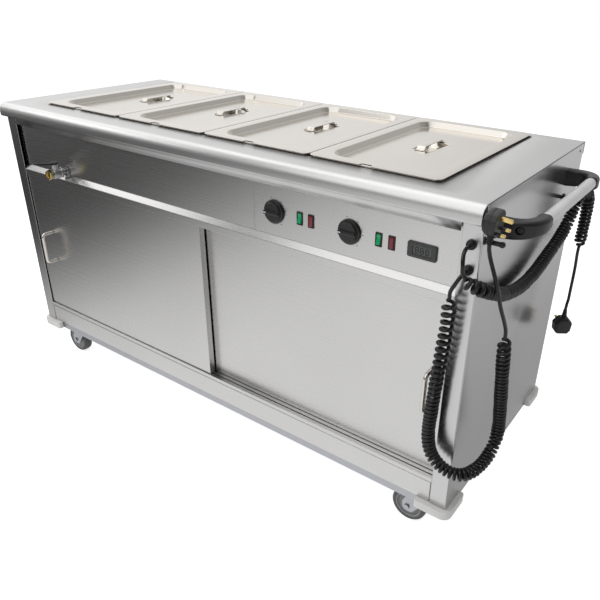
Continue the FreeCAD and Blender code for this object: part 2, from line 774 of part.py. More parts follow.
def chassis_frame():
    """A ring of channel under the body, open to the inside, with a plate over each castor."""
    x = (chassis_setback, body_length - chassis_setback)
    y = (chassis_setback, body_depth - chassis_setback)
    z = (castor_height, body_bottom)
    wall, deep = chassis_wall, chassis_flange
    ring = box(x, y, z)
    ring = ring.cut(box((x[0] + wall, x[1] - wall), (y[0] + wall, y[1] - wall), (z[0] + wall, z[1] - wall)))
    ring = ring.cut(box((x[0] + deep, x[1] - deep), (y[0] + deep, y[1] - deep), (z[0] - 1, z[1] + 1)))
    for cx, cy in castor_places:
        half = plate_length / 2 + 10, plate_width / 2 + 6
        left, right = max(cx - half[0], x[0] + wall / 2), min(cx + half[0], x[1] - wall / 2)
        front, back = max(cy - half[1], y[0] + wall / 2), min(cy + half[1], y[1] - wall / 2)
        ring = join(ring, box((left, right), (front, back), (z[0], z[0] + wall)))
    for cx in (body_length / 3, body_length * 2 / 3):
        bar = box((cx - deep / 2, cx + deep / 2), (y[0] + wall / 2, y[1] - wall / 2), z)
        inside = box((cx - deep / 2 + wall, cx + deep / 2 - wall), (y[0] - 1, y[1] + 1), (z[0] - 1, z[1] - wall))
        ring = join(ring, bar.cut(inside))
    return ring


def castor_plates():
    """The castors' top plates, each with its raceway and four bolts."""
    solids = []
    bolt_x, bolt_y = plate_length / 2 - 12, plate_width / 2 - 12
    top = castor_height
    low = top - plate_thickness
    for x, y in castor_places:
        flat = box((x - plate_length / 2, x + plate_length / 2), (y - plate_width / 2, y + plate_width / 2), (low, top))
        race = rod(raceway_radius, (x, y, low - raceway_height), (x, y, low + 1))
        bore = rod(king_pin + running_fit, (x, y, low - raceway_height - 1), (x, y, top + 1))
        solids.append(join(flat, race).cut(bore))
        for dx in (-bolt_x, bolt_x):
            for dy in (-bolt_y, bolt_y):
                solids.append(rod(6.5, (x + dx, y + dy, low - 5), (x + dx, y + dy, low)))
    return solids


def castor_fork(x, y):
    """A castor's fork with its king pin and axle; it trails towards the left end."""
    top = castor_height - plate_thickness - raceway_height - gap
    inner = wheel_width / 2 + 3
    outer = inner + fork_thickness
    crown_low = top - 2 * fork_thickness
    crown = box((x - fork_crown, x + fork_crown), (y - outer, y + outer), (crown_low, top))
    pin = rod(king_pin, (x, y, top - 1), (x, y, castor_height - gap))
    ax, az, lug = x - castor_trail, wheel_radius, 14.0
    points = [(x - fork_crown, top), (x + fork_crown, top), (x + fork_crown, crown_low - 6),
              (ax + lug, az - lug), (ax - lug, az - lug), (ax - lug, az + lug)]
    radii = [0, 0, 10, lug - 0.5, lug - 0.5, 8]
    legs = [plate("xz", points, limits, radii) for limits in ((y - outer, y - inner), (y + inner, y + outer))]
    axle = rod(axle_radius, (ax, y - outer - 4, az), (ax, y + outer + 4, az))
    nuts = [rod(7, (ax, y + side * outer, az), (ax, y + side * (outer + 4), az)) for side in (-1, 1)]
    return join(crown, pin, axle, *legs, *nuts)


def castor_wheel(x, y):
    """A wheel: plastic hub with its bore, and the tyre round it."""
    cx, cz = x - castor_trail, wheel_radius
    half = wheel_width / 2
    seat = wheel_radius - tyre_thickness
    hub = rod(seat, (cx, y - half + 2, cz), (cx, y + half - 2, cz))
    boss = rod(12, (cx, y - half - 2.6, cz), (cx, y + half + 2.6, cz))
    bore = rod(axle_radius + running_fit, (cx, y - half - 5, cz), (cx, y + half + 5, cz))
    hub = join(hub, boss).cut(bore)
    for side in (-1, 1):
        groove = rod(seat - 7, (cx, y + side * (half - 7), cz), (cx, y + side * (half + 1), cz))
        groove = groove.cut(rod(17, (cx, y + side * (half - 8), cz), (cx, y + side * (half + 2), cz)))
        hub = hub.cut(groove)
    profile = [(-half, seat), (half, seat), (half, wheel_radius), (-half, wheel_radius)]
    corners = [Vector(cx, y + a, cz + r) for a, r in profile]
    face = Part.Face(outline(corners, [0, 0, 6, 6]))
    tyre = face.revolve(Vector(cx, y, cz), Vector(0, 1, 0), 360)
    return [hub, tyre]


def bumpers():
    """The four corner buffers round the chassis."""
    solids = []
    far = -bumper_proud
    near = chassis_setback
    points = [(far, far), (bumper_leg + far, far), (bumper_leg + far, near), (near, near),
              (near, bumper_leg + far), (far, bumper_leg + far)]
    corner = plate("xy", points, (castor_height, body_bottom), [bumper_corner, 7, 2, 0, 2, 7])
    for over_x in (False, True):
        for over_y in (False, True):
            piece = corner
            if over_x:
                piece = mirrored(piece, body_length / 2)
            if over_y:
                piece = piece.mirror(Vector(0, body_depth / 2, 0), Vector(0, 1, 0))
            solids.append(piece)
    return solids


# ---- push handle and hooks ----

def bracket(root, side):
    """A moulded elbow from the end panel to the tube; side is 1 where it turns back."""
    start = body_length
    straight = tube_offset - bracket_bend
    places = [(start, root, 0.0), (start + straight, root, 0.0)]
    for angle in (18, 36, 54, 72, 90):
        turn = math.radians(angle)
        places.append((start + straight + bracket_bend * math.sin(turn),
                       root + side * bracket_bend * (1 - math.cos(turn)), turn))
    places.append((tube_x, root + side * (bracket_bend + bracket_straight), math.pi / 2))
    wires = []
    for i, (x, y, turn) in enumerate(places):
        share = i / (len(places) - 1)
        wide = bracket_root[0] + (2 * bracket_end - bracket_root[0]) * share
        tall = bracket_root[1] + (2 * bracket_end - bracket_root[1]) * share
        corner = 9 + (bracket_end - 0.5 - 9) * share
        half_w, half_t = wide / 2, tall / 2
        across = Vector(-side * math.sin(turn), math.cos(turn), 0) * half_w
        up = Vector(0, 0, half_t)
        middle = Vector(x, y, tube_z)
        wires.append(outline([middle - across - up, middle + across - up, middle + across + up,
                              middle - across + up], [corner] * 4))
    elbow = Part.makeLoft(wires, True, False)
    end = root + side * (bracket_bend + bracket_straight)
    socket = rod(tube_radius + gap / 2, (tube_x, end + side, tube_z), (tube_x, end - side * tube_socket, tube_z))
    bolt_x = start + bolt_share * tube_offset
    bolt_z = tube_z - bolt_drop
    recess = rod(bracket_bolt, (bolt_x, root - side * bracket_root[0], bolt_z), (bolt_x, root + side * bolt_depth, bolt_z))
    return elbow.cut(socket).cut(recess)


def handle_brackets():
    """The front and back brackets of the push handle."""
    return [bracket(bracket_roots[0], 1), bracket(bracket_roots[1], -1)]


def push_tube():
    """The handle's tube, let into both brackets."""
    ends = (bracket_ends[0] - tube_socket + gap, bracket_ends[1] + tube_socket - gap)
    outside = rod(tube_radius, (tube_x, ends[0], tube_z), (tube_x, ends[1], tube_z))
    return outside.cut(rod(tube_radius - sheet, (tube_x, ends[0] - 1, tube_z), (tube_x, ends[1] + 1, tube_z)))


def lead_hooks():
    """Two hooks on the right end panel: a peg that holds one plug, and an arm for the other lead."""
    y, z = hook_front[0], worktop_height - hook_front[1]
    end = (body_length + hook_front_reach, y, z)
    ball = Part.makeSphere(hook_ball, Vector(*end))
    peg = join(rod(8, (body_length, y, z), (body_length + 2, y, z)), rod(hook_wire, (body_length, y, z), end), ball)
    y, z = hook_back[0], worktop_height - hook_back[1]
    base = rod(9, (body_length, y, z), (body_length + 3, y, z))
    far = body_length + hook_back_reach
    arm = pipe([(body_length + 1, y, z), (far, y, z), (far, y, z + hook_tip)], [0, 8, 0], hook_wire)
    return [peg, join(base, arm)]


def screws():
    """Pan-head screws of the back and the right end, and the bolts in the handle's brackets."""
    heads = []
    back = body_depth
    for x in (rear_flange / 2, body_length - rear_flange / 2):
        for z in (body_bottom + 60, (body_bottom + under_top) / 2, worktop_height - 60):
            heads.append(rod(4, (x, back, z), (x, back + 1.8, z)))
    side_y, side_z = body_depth - 28, worktop_height - 17
    heads.append(rod(3, (body_length, side_y, side_z), (body_length + 1.5, side_y, side_z)))
    bolt_x, bolt_z = body_length + bolt_share * tube_offset, tube_z - bolt_drop
    for root, side in zip(bracket_roots, (1, -1)):
        seat = root + side * bolt_depth
        heads.append(rod(bracket_bolt - 1, (bolt_x, seat - side * 6, bolt_z), (bolt_x, seat, bolt_z)))
    return heads


# ---- leads ----

def glands():
    """The two cable glands on the right post."""
    solids = []
    for z in gland_z:
        flange = rod(gland_radius, (gland_x, -5, z), (gland_x, 0, z))
        nose = Part.makeCone(gland_radius * 0.8, gland_radius * 0.55, gland_reach - 5,
                             Vector(gland_x, -5, z), Vector(0, -1, 0))
        thread = rod(gland_radius * 0.6, (gland_x, -1, z), (gland_x, sheet + 8, z))
        solids.append(join(flange, nose, thread))
    return solids


def plug_placement(lead):
    """Where a plug is: its face's middle, turned as it hangs."""
    if lead == "a":
        turned = Rotation(Vector(0, 1, 0), 5) * Rotation(Vector(1, 0, 0), 11)
        return FreeCAD.Placement(Vector(1586, -10.5, 872.5), turned)
    turned = Rotation(Vector(0, 0, 1), 125) * Rotation(Vector(1, 0, 0), 180)
    return FreeCAD.Placement(Vector(1604, 543, 433), turned)


def plug(lead):
    """A moulded three-pin plug with its boot; its own X leaves the face, its cord goes down."""
    half_w, half_h, thick = plug_width / 2, plug_height / 2, plug_thickness
    def ring(x, less):
        w, h = half_w - less, half_h - less
        points = [(-w, -h * 0.35), (-w * 0.92, h * 0.6), (-w * 0.6, h), (w * 0.6, h), (w * 0.92, h * 0.6),
                  (w, -h * 0.35), (w * 0.42, -h), (-w * 0.42, -h)]
        return outline([Vector(x, a, b) for a, b in points], [4] * 8)
    body = Part.makeLoft([ring(0, 0), ring(-thick * 0.45, 0), ring(-thick, 5)], True, True)
    boot = Part.makeCone(7.5, lead_wire + 1, boot_length + 3, Vector(-thick / 2, 0, -half_h + 3), Vector(0, 0, -1))
    solid = join(body, boot)
    solid.Placement = plug_placement(lead).multiply(solid.Placement)
    return solid


def plug_pins(lead):
    """The three pins of a plug, standing on its face."""
    solids = []
    w, h, length = earth_pin
    solids.append(box((0, length), (-w / 2, w / 2), (9, 9 + h)))
    w, h, length = line_pin
    for side in (-1, 1):
        y = side * pin_spacing / 2
        solids.append(box((0, length), (y - w / 2, y + w / 2), (9 - pin_spacing - h / 2, 9 - pin_spacing + h / 2)))
    for solid in solids:
        solid.Placement = plug_placement(lead).multiply(solid.Placement)
    return solids


def boot_end(lead):
    """Where a plug's boot lets the cord out, and which way the cord leaves."""
    place = plug_placement(lead)
    end = place.multVec(Vector(-plug_thickness / 2, 0, -plug_height / 2 - boot_length))
    return end, place.Rotation.multVec(Vector(0, 0, -1))


# each lead: from its gland, through the middle of its curls, to its plug
lead_routes = {
    "a": {
        "tail": [(1535, -30, 767), (1527, -34, 749), (1518, -31, 732)],
        "curls": [(1516, -29, 714), (1517, -28, 690), (1517, -28, 655), (1513, -28, 590), (1508, -28, 513),
                  (1505, -28, 448), (1502, -28, 372), (1516, -28, 322), (1556, -30, 300), (1590, -16, 294),
                  (1608, 30, 296), (1613, 82, 308), (1614, 108, 350), (1613, 92, 424), (1612, 74, 500),
                  (1611, 59, 566), (1610, 55, 600)],
        "end": [(1609, 46, 632), (1608, 30, 664), (1604, 15, 698), (1598, 5, 732), (1589, 3, 762)],
        "turns": 48,
    },
    "b": {
        "tail": [(1535, -32, 819), (1539, -44, 804), (1542, -46, 787)],
        "curls": [(1546, -42, 770), (1553, -38, 758), (1567, -30, 750), (1577, -12, 740), (1577, 20, 724),
                  (1575, 73, 699), (1575, 111, 682), (1576, 205, 660), (1578, 295, 664), (1581, 361, 686),
                  (1585, 426, 710), (1589, 462, 738), (1594, 472, 781), (1598, 490, 803),
                  (1603, 526, 807), (1607, 548, 780), (1608, 549, 732), (1608, 545, 684)],
        "end": [(1608, 547, 652), (1609, 551, 612), (1611, 543, 572), (1612, 538, 532), (1612, 540, 505)],
        "turns": 48,
    },
}
curl_ramp = 18.0  # length over which the first and last curls open out
free_bend = 0.45  # a bend's share of the shorter run beside it


def free_radii(points):
    """The radius at each inner point of a free stretch: as large as its two runs allow."""
    radii = [0]
    for before, corner, after in zip(points, points[1:], points[2:]):
        back, ahead = before - corner, after - corner
        half_turn = (math.pi - back.getAngle(ahead)) / 2
        radii.append(free_bend * min(back.Length, ahead.Length) / math.tan(half_turn))
    return radii + [0]


def arc_between(start, corner, end):
    """The arc that leaves start towards a corner and reaches end from it."""
    back, ahead = (start - corner), (end - corner)
    half = back.getAngle(ahead) / 2
    if math.pi / 2 - half < 1e-4:
        return Part.LineSegment(start, end).toShape()
    radius = back.Length * math.tan(half)
    bisector = (back.normalize() + ahead.normalize()).normalize()
    return Part.Arc(start, corner + bisector * (radius / math.sin(half) - radius), end).toShape()


def biarc(start, leaving, end, arriving):
    """Two arcs that join two points and keep the direction at each."""
    across = end - start
    both = leaving + arriving
    square = 2 * (1 - leaving.dot(arriving))
    along = across.dot(both)
    if square < 1e-9:
        reach = across.dot(across) / (2 * along)
    else:
        reach = (math.sqrt(along * along + square * across.dot(across)) - along) / square
    first, second = start + leaving * reach, end - arriving * reach
    joint = (first + second) * 0.5
    return [arc_between(start, first, joint), arc_between(joint, second, end)]


def curl_points(points, turns, steps=16):
    """Points of the curls: a circle carried along the smooth line of the route, opening at its ends."""
    inner = len(points) - 3
    line = Part.BSplineCurve()
    line.buildFromPolesMultsKnots([Vector(*p) for p in points], [3] + [1] * inner + [3],
                                  list(range(inner + 2)), False, 2)
    length = line.length()
    side = Vector(1, 0, 0)
    found = []
    for i in range(turns * steps + 1):
        at = min(length * i / (turns * steps), length)
        u = line.parameterAtDistance(at, line.FirstParameter)
        ahead = line.tangent(u)[0].normalize()
        side = (side - ahead * side.dot(ahead)).normalize()
        opening = min(at, length - at) / curl_ramp
        ease = 1.0 if opening >= 1 else opening * opening * (3 - 2 * opening)
        angle = 2 * math.pi * i / steps
        turned = side * math.cos(angle) + ahead.cross(side) * math.sin(angle)
        found.append(line.value(u) + turned * (coil_mean * ease))
    return found


def least_gap(points, apart):
    """The least gap between a tube and itself, on points more than apart steps away."""
    least = 1e9
    for i, p in enumerate(points):
        for q in points[i + apart:i + 3 * apart]:
            least = min(least, (p - q).Length)
    return least - 2 * lead_wire


def lead(name):
    """A curly mains lead: straight tail from its gland, curls, and straight end to its plug."""
    route = lead_routes[name]
    z = gland_z["ab".index(name)]
    steps = 16
    curls = curl_points(route["curls"], route["turns"], steps)
    out = Vector(gland_x, -gland_reach, z)
    tail = [out] + [Vector(*p) for p in route["tail"]] + [curls[0]]
    boot, leaving = boot_end(name)
    end = [curls[-1]] + [Vector(*p) for p in route["end"]] + [boot + leaving * 16, boot]
    first = (Vector(*route["curls"][1]) - curls[0]).normalize()
    last = (curls[-1] - Vector(*route["curls"][-2])).normalize()
    tail.insert(-1, curls[0] - first * 10)
    end.insert(1, curls[-1] + last * 14)
    edges = []
    for stretch in (tail, end):
        radii = free_radii(stretch)
        edges.append(outline(stretch, radii, closed=False).Edges)
        print("lead", name, "radii", [round(r) for r in radii[1:-1]])
    turning = []
    quarter = steps // 4
    for i in range(0, len(curls) - 1, quarter):
        ahead = first if i == 0 else (curls[i + 1] - curls[i - 1]).normalize()
        j = i + quarter
        onward = last if j == len(curls) - 1 else (curls[j + 1] - curls[j - 1]).normalize()
        turning += biarc(curls[i], ahead, curls[j], onward)
    path = Part.Wire(edges[0] + turning + edges[1])
    print("lead", name, "length", round(path.Length), "least gap", round(least_gap(curls, 3 * quarter), 2))
    shell = Part.BRepOffsetAPI.MakePipeShell(path)
    shell.add(Part.Wire(Part.makeCircle(lead_wire, tail[0], tail[1] - tail[0])))
    shell.build()
    shell.makeSolid()
    solid = shell.shape()
    share = solid.Volume / (math.pi * lead_wire ** 2 * path.Length)
    print("lead", name, "volume by section times length", round(share, 4), "valid", solid.isValid())
    return solid


# ---- all pieces ----

pieces = {
    "worktop": worktop(),
    "end_panel_left": end_panel(),
    "end_panel_right": end_panel_right(),
    "back_panel": back_panel(),
    "front_fascia": front_fascia(),
    "control_panel": control_panel(),
    "header_rail": header_rail(),
    "base_tray": base_tray(),
    "cupboard_ceiling": cupboard_ceiling(),
    "door_tracks": door_tracks(),
    "shelf": shelf(),
    "shelf_brackets": shelf_brackets(),
    "chassis_frame": chassis_frame(),
    "bath": bath(),
    "pan_bars": pan_bars(),
    "heaters": heaters(),
    "drain_pipe": drain_pipe(),
    "tap_body": tap_body(),
    "tap_lever": tap_lever(),
    "knob_left": knob(knob_x[0]),
    "knob_right": knob(knob_x[1]),
    "thermostats": thermostats(),
    "switch_housings": switch_housings(),
    "rocker_left": rocker(switch_x[0]),
    "rocker_right": rocker(switch_x[1]),
    "neon_lamps": neon_lamps(),
    "display": display(),
    "door_left": door(0),
    "door_right": door(1),
    "door_handle_left": door_handle(0),
    "door_handle_right": door_handle(1),
    "castor_plates": castor_plates(),
    "bumpers": bumpers(),
    "handle_brackets": handle_brackets(),
    "push_tube": push_tube(),
    "lead_hooks": lead_hooks(),
    "screws": screws(),
    "glands": glands(),
    "lead_a": lead("a"),
    "lead_b": lead("b"),
    "plug_a": plug("a"),
    "plug_b": plug("b"),
    "plug_a_pins": plug_pins("a"),
    "plug_b_pins": plug_pins("b"),
}
for i, x in enumerate(pan_centres, start=1):
    pieces[f"pan_{i}"] = pan(x)
    pieces[f"lid_{i}"] = lid(x)
for i, (x, y) in enumerate(castor_places, start=1):
    pieces[f"castor_fork_{i}"] = castor_fork(x, y)
    pieces[f"castor_wheel_{i}"] = castor_wheel(x, y)


def write_parts():
    """Move every piece to the object's own frame and write it to its file."""
    os.makedirs("parts", exist_ok=True)
    for name, shape in pieces.items():
        whole = Part.makeCompound(shape) if isinstance(shape, list) else shape.copy()
        whole.translate(-origin)
        whole.exportStep(f"parts/{name}.step")
        if not whole.isValid():
            print("not valid:", name)


write_parts()
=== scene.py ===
import json
import math
import bmesh
import bpy
import numpy as np
from mathutils import Matrix, Vector


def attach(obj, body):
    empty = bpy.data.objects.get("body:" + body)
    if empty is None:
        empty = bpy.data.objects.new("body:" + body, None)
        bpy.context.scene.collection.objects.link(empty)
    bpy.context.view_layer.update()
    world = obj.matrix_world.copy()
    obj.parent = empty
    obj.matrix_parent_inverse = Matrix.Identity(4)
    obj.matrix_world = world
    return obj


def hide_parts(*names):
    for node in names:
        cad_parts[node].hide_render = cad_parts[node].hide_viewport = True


# A stainless servery trolley: hot cupboard, four lidded pans, push handle and two curly leads.
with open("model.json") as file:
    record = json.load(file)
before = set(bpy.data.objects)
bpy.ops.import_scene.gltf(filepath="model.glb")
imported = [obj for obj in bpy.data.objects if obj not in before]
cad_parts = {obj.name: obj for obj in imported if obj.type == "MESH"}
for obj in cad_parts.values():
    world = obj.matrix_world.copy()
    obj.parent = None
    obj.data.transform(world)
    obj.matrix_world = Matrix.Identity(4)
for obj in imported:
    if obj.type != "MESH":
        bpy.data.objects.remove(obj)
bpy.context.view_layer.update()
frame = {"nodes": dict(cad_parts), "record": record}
nodes = frame["nodes"]
bodyCorner = np.array([0.81175, 0.2735, 0.0])  # the frame's origin from the body's left front foot
print("frame loaded:", len(nodes), "nodes")


def fromCorner(points):
    # frame point = point measured from the body's left front foot, in metres, less the origin's place
    return np.asarray(points, float) - bodyCorner


def linked(name, data):
    made = bpy.data.objects.new(name, data)
    bpy.context.scene.collection.objects.link(made)
    return made


cameraView = {
    "place": (1.12885, -1.322, 1.2607),
    "azimuth": 35.02,  # degrees round to the right
    "elevation": 27.39,
    "roll": 1.02,
    "focal": 630.909,  # in pixels of a 600 pixel frame
    "centre": (325.595, 301.131),
    "frame": 600,
}


def makeCamera(view):
    # forward = (-sin a cos e, cos a cos e, -sin e); right and up are turned about it by the roll
    a, e, r = (math.radians(view[k]) for k in ("azimuth", "elevation", "roll"))
    forward = np.array([-math.sin(a) * math.cos(e), math.cos(a) * math.cos(e), -math.sin(e)])
    level = np.cross(forward, [0, 0, 1])
    level /= np.linalg.norm(level)
    rise = np.cross(level, forward)
    right = math.cos(r) * level + math.sin(r) * rise
    up = np.cross(right, forward)
    data = bpy.data.cameras.new("photoCamera")
    size = view["frame"]
    data.sensor_width = 36
    data.lens = view["focal"] / size * data.sensor_width
    data.shift_x = (size / 2 - view["centre"][0]) / size
    data.shift_y = (view["centre"][1] - size / 2) / size
    data.clip_start, data.clip_end = 0.01, 100
    camera = linked("photoCamera", data)
    turned = np.eye(4)
    turned[:3, :4] = np.column_stack([right, up, -forward, view["place"]])
    camera.matrix_world = Matrix(turned.tolist())
    bpy.context.scene.camera = camera
    bpy.context.scene.view_settings.view_transform = "Standard"


makeCamera(cameraView)
print("camera placed")


def nodeIn(tree, kind, values=None, **settings):
    # a shader node with its settings, its named inputs filled with numbers or linked from other sockets
    made = tree.nodes.new(kind)
    for key, value in settings.items():
        setattr(made, key, value)
    for key, value in (values or {}).items():
        socket = made.inputs[key]
        if isinstance(value, bpy.types.NodeSocket):
            tree.links.new(value, socket)
        else:
            socket.default_value = value
    return made


def newMaterial(name):
    made = bpy.data.materials.new(name)
    made.use_nodes = True
    made.node_tree.nodes.clear()
    return made, made.node_tree


def finishMaterial(tree, shader):
    nodeIn(tree, "ShaderNodeOutputMaterial", {"Surface": shader.outputs[0]})


def stretchedNoise(tree, scale, detail=3.0, roughness=0.55, space="Object"):
    # noise on the piece's own coordinates, each axis stretched by its own scale
    where = nodeIn(tree, "ShaderNodeTexCoord").outputs[space]
    moved = nodeIn(tree, "ShaderNodeMapping", {"Vector": where, "Scale": scale})
    return nodeIn(tree, "ShaderNodeTexNoise", {"Vector": moved.outputs[0], "Scale": 1.0, "Detail": detail,
        "Roughness": roughness}).outputs["Fac"]


def combined(tree, operation, first, second):
    return nodeIn(tree, "ShaderNodeMath", {0: first, 1: second}, operation=operation).outputs[0]


def remap(tree, value, low, high, start=0.3, end=0.7):
    # start..end of the value becomes low..high
    return nodeIn(tree, "ShaderNodeMapRange", {"Value": value, "From Min": start, "From Max": end,
        "To Min": low, "To Max": high}).outputs[0]


def shaded(tree, colour, share):
    # the colour times a grey share
    return nodeIn(tree, "ShaderNodeMix", {"Factor": 1.0, "A": (*colour, 1), "B": share}, data_type="RGBA",
        blend_type="MULTIPLY").outputs["Result"]


def brushedSteel(name, colour, rough, grain=(2.0, 1500.0, 1500.0), spread=0.02, edge=0.0012, smear=0.6,
        crease=0.35):
    # colour times streaks along the grain, faint clouds and painted shade in creases and gaps, read from
    # ambient occlusion; roughness and bump follow the same streaks
    made, tree = newMaterial(name)
    streak = stretchedNoise(tree, grain, 4.0)
    cloud = stretchedNoise(tree, (3.0, 3.0, 3.0), 2.0)
    tone = combined(tree, "MULTIPLY", remap(tree, streak, 0.982, 1.008), remap(tree, cloud, 0.975, 1.015))
    # painted shade: where ambient occlusion finds near surfaces, the colour falls towards the crease share
    near = nodeIn(tree, "ShaderNodeAmbientOcclusion", {"Distance": 0.006}, samples=6).outputs["AO"]
    tone = combined(tree, "MULTIPLY", tone, remap(tree, near, crease, 1.0, 0.3, 0.85))
    worn = remap(tree, streak, rough - spread, rough + spread)
    soft = nodeIn(tree, "ShaderNodeBevel", {"Radius": edge}, samples=4).outputs[0]
    bump = nodeIn(tree, "ShaderNodeBump", {"Strength": 0.05, "Distance": 0.0003, "Height": streak,
        "Normal": soft})
    along = nodeIn(tree, "ShaderNodeTangent", direction_type="RADIAL", axis="X")
    shader = nodeIn(tree, "ShaderNodeBsdfPrincipled", {
        "Base Color": shaded(tree, colour, tone), "Metallic": 1.0, "Roughness": worn, "Anisotropic": smear,
        "Normal": bump.outputs[0], "Tangent": along.outputs[0]})
    finishMaterial(tree, shader)
    return made


def moulded(name, colour, rough, grainSize=700.0, depth=0.0002, strength=0.2, coat=0.0):
    # a moulded plastic or rubber: small clouds in colour and roughness, fine pebbled bump
    made, tree = newMaterial(name)
    pebble = stretchedNoise(tree, (grainSize,) * 3, 2.0)
    cloud = stretchedNoise(tree, (14.0,) * 3, 3.0)
    tone = remap(tree, cloud, 0.9, 1.06)
    worn = remap(tree, cloud, rough - 0.05, rough + 0.05)
    soft = nodeIn(tree, "ShaderNodeBevel", {"Radius": 0.0008}, samples=4).outputs[0]
    bump = nodeIn(tree, "ShaderNodeBump", {"Strength": strength, "Distance": depth, "Height": pebble,
        "Normal": soft})
    shader = nodeIn(tree, "ShaderNodeBsdfPrincipled", {
        "Base Color": shaded(tree, colour, tone), "Roughness": worn, "Normal": bump.outputs[0],
        "Coat Weight": coat, "Coat Roughness": 0.2})
    finishMaterial(tree, shader)
    return made


# crease: how far each steel's painted shade in creases and gaps darkens its colour
steelSatin = brushedSteel("steelSatin", (0.62, 0.615, 0.61), 0.27)
steelWorktop = brushedSteel("steelWorktop", (0.62, 0.618, 0.615), 0.33, crease=0.55)
steelPolished = brushedSteel("steelPolished", (0.69, 0.655, 0.605), 0.16, (1.5, 600.0, 600.0), 0.02,
    crease=0.15)
steelUpright = brushedSteel("steelUpright", (0.59, 0.585, 0.585), 0.24, (1500.0, 1500.0, 2.0))
zincPlated = brushedSteel("zincPlated", (0.45, 0.46, 0.48), 0.35, (60.0, 60.0, 60.0), 0.08, smear=0.0)
brassBright = brushedSteel("brassBright", (0.8, 0.6, 0.25), 0.22, (300.0, 300.0, 300.0), 0.06, smear=0.0)
tubeGrey = moulded("tubeGrey", (0.66, 0.66, 0.665), 0.3)
blackMoulding = moulded("blackMoulding", (0.011, 0.011, 0.012), 0.36)
leadJacket = moulded("leadJacket", (0.006, 0.006, 0.0065), 0.26, 500.0, 0.0001)
milkPlastic = moulded("milkPlastic", (0.8, 0.795, 0.775), 0.35)
tyreGrey = moulded("tyreGrey", (0.1, 0.105, 0.105), 0.55)
displayGrey = moulded("displayGrey", (0.045, 0.047, 0.047), 0.45)
greenLens = moulded("greenLens", (0.0, 0.36, 0.13), 0.18)
redLens = moulded("redLens", (0.2, 0.015, 0.03), 0.18)
slotFinish = {
    "stainless_satin": steelSatin, "stainless_polished": steelPolished, "zinc_plated_steel": zincPlated,
    "castor_wheel": tyreGrey, "black_moulding": blackMoulding, "display_grey": displayGrey,
    "green_lens": greenLens, "red_lens": redLens, "white_buffer": milkPlastic, "brass": brassBright,
    "grey_tube": tubeGrey, "lead_jacket": leadJacket,
}
wheelGrey = moulded("wheelGrey", (0.34, 0.345, 0.345), 0.45)
tickWhite = moulded("tickWhite", (0.8, 0.8, 0.78), 0.5)
printBlack = moulded("printBlack", (0.02, 0.02, 0.022), 0.6)
panelGlass = moulded("panelGlass", (0.075, 0.078, 0.076), 0.2)
segmentGrey = moulded("segmentGrey", (0.26, 0.265, 0.26), 0.4)
nickelGrey = brushedSteel("nickelGrey", (0.42, 0.42, 0.42), 0.3, (200.0, 200.0, 200.0), 0.06, smear=0.0)
for part in frame["record"]["subparts"]:
    held = nodes[part["node"]]
    held.data.materials.clear()
    held.data.materials.append(slotFinish[part["material_slot"]])
for name in ("end_panel_left", "end_panel_right"):
    nodes[name].data.materials[0] = steelUpright
print("finishes on", len(nodes), "carried-over nodes")


def unit(vectors):
    return vectors / np.linalg.norm(vectors, axis=-1, keepdims=True)


def skin(points, around=(False, True), caps=(False, False), finish=0):
    # a grid of points (rows, columns, 3) as quads; a cap closes the first or last row with one face
    rows, columns = points.shape[:2]
    i = np.arange(rows if around[0] else rows - 1)[:, None]
    j = np.arange(columns if around[1] else columns - 1)[None, :]
    nextI, nextJ = (i + 1) % rows, (j + 1) % columns
    corners = (i * columns + j, i * columns + nextJ, nextI * columns + nextJ, nextI * columns + j)
    faces = np.stack(np.broadcast_arrays(*corners), -1).reshape(-1, 4).tolist()
    if caps[0]:
        faces.append(list(range(columns))[::-1])
    if caps[1]:
        faces.append(list(range((rows - 1) * columns, rows * columns)))
    return points.reshape(-1, 3), faces, finish


def mendMesh(mesh):
    # doubles merged and faces turned outwards
    work = bmesh.new()
    work.from_mesh(mesh)
    bmesh.ops.remove_doubles(work, verts=work.verts, dist=1e-6)
    bmesh.ops.recalc_face_normals(work, faces=work.faces)
    work.to_mesh(mesh)
    work.free()


def makePiece(name, skins, finishes, body, replaced=(), crease=35, mend=True):
    # the skins joined in one mesh, in the frame's place
    points, faces, marks, start = [], [], [], 0
    for found, quads, finish in skins:
        points.append(found)
        faces += [[start + corner for corner in face] for face in quads]
        marks += [finish] * len(quads)
        start += len(found)
    mesh = bpy.data.meshes.new(name)
    mesh.from_pydata(fromCorner(np.vstack(points)).tolist(), [], faces)
    mesh.polygons.foreach_set("material_index", marks)
    if mend:
        mendMesh(mesh)
    mesh.shade_smooth()
    mesh.set_sharp_from_angle(angle=math.radians(crease))
    for finish in finishes:
        mesh.materials.append(finish)
    piece = linked(name, mesh)
    if replaced:
        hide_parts(*replaced)
    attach(piece, body)
    return piece


def sheetPiece(name, found, thickness, finish, body, replaced):
    # a piece of sheet metal: the skin drawn is its outer face, and its wall lies inside
    piece = makePiece(name, [found], [finish], body, (replaced,), 40, mend=False)
    wall = piece.modifiers.new("wall", "SOLIDIFY")
    wall.thickness, wall.offset = thickness, -1


def roundedPath(corners, radii, steps=5):
    # straight runs joined by arcs: arc point = corner + r (b / sin h) less r turned from one run to the next
    corners = np.array(corners, float)
    found = [corners[:1]]
    for before, corner, after, radius in zip(corners, corners[1:], corners[2:], radii):
        back, ahead = unit(before - corner), unit(after - corner)
        half = math.acos(np.clip(back @ ahead, -1, 1)) / 2
        middle = corner + unit(back + ahead) * radius / math.sin(half)
        first = corner + back * radius / math.tan(half) - middle
        last = corner + ahead * radius / math.tan(half) - middle
        share = np.linspace(0, 1, steps + 1)[:, None]
        spread = math.pi - 2 * half
        arc = np.sin((1 - share) * spread) * first + np.sin(share * spread) * last
        found.append(middle + arc / math.sin(spread))
    return np.vstack(found + [corners[-1:]])


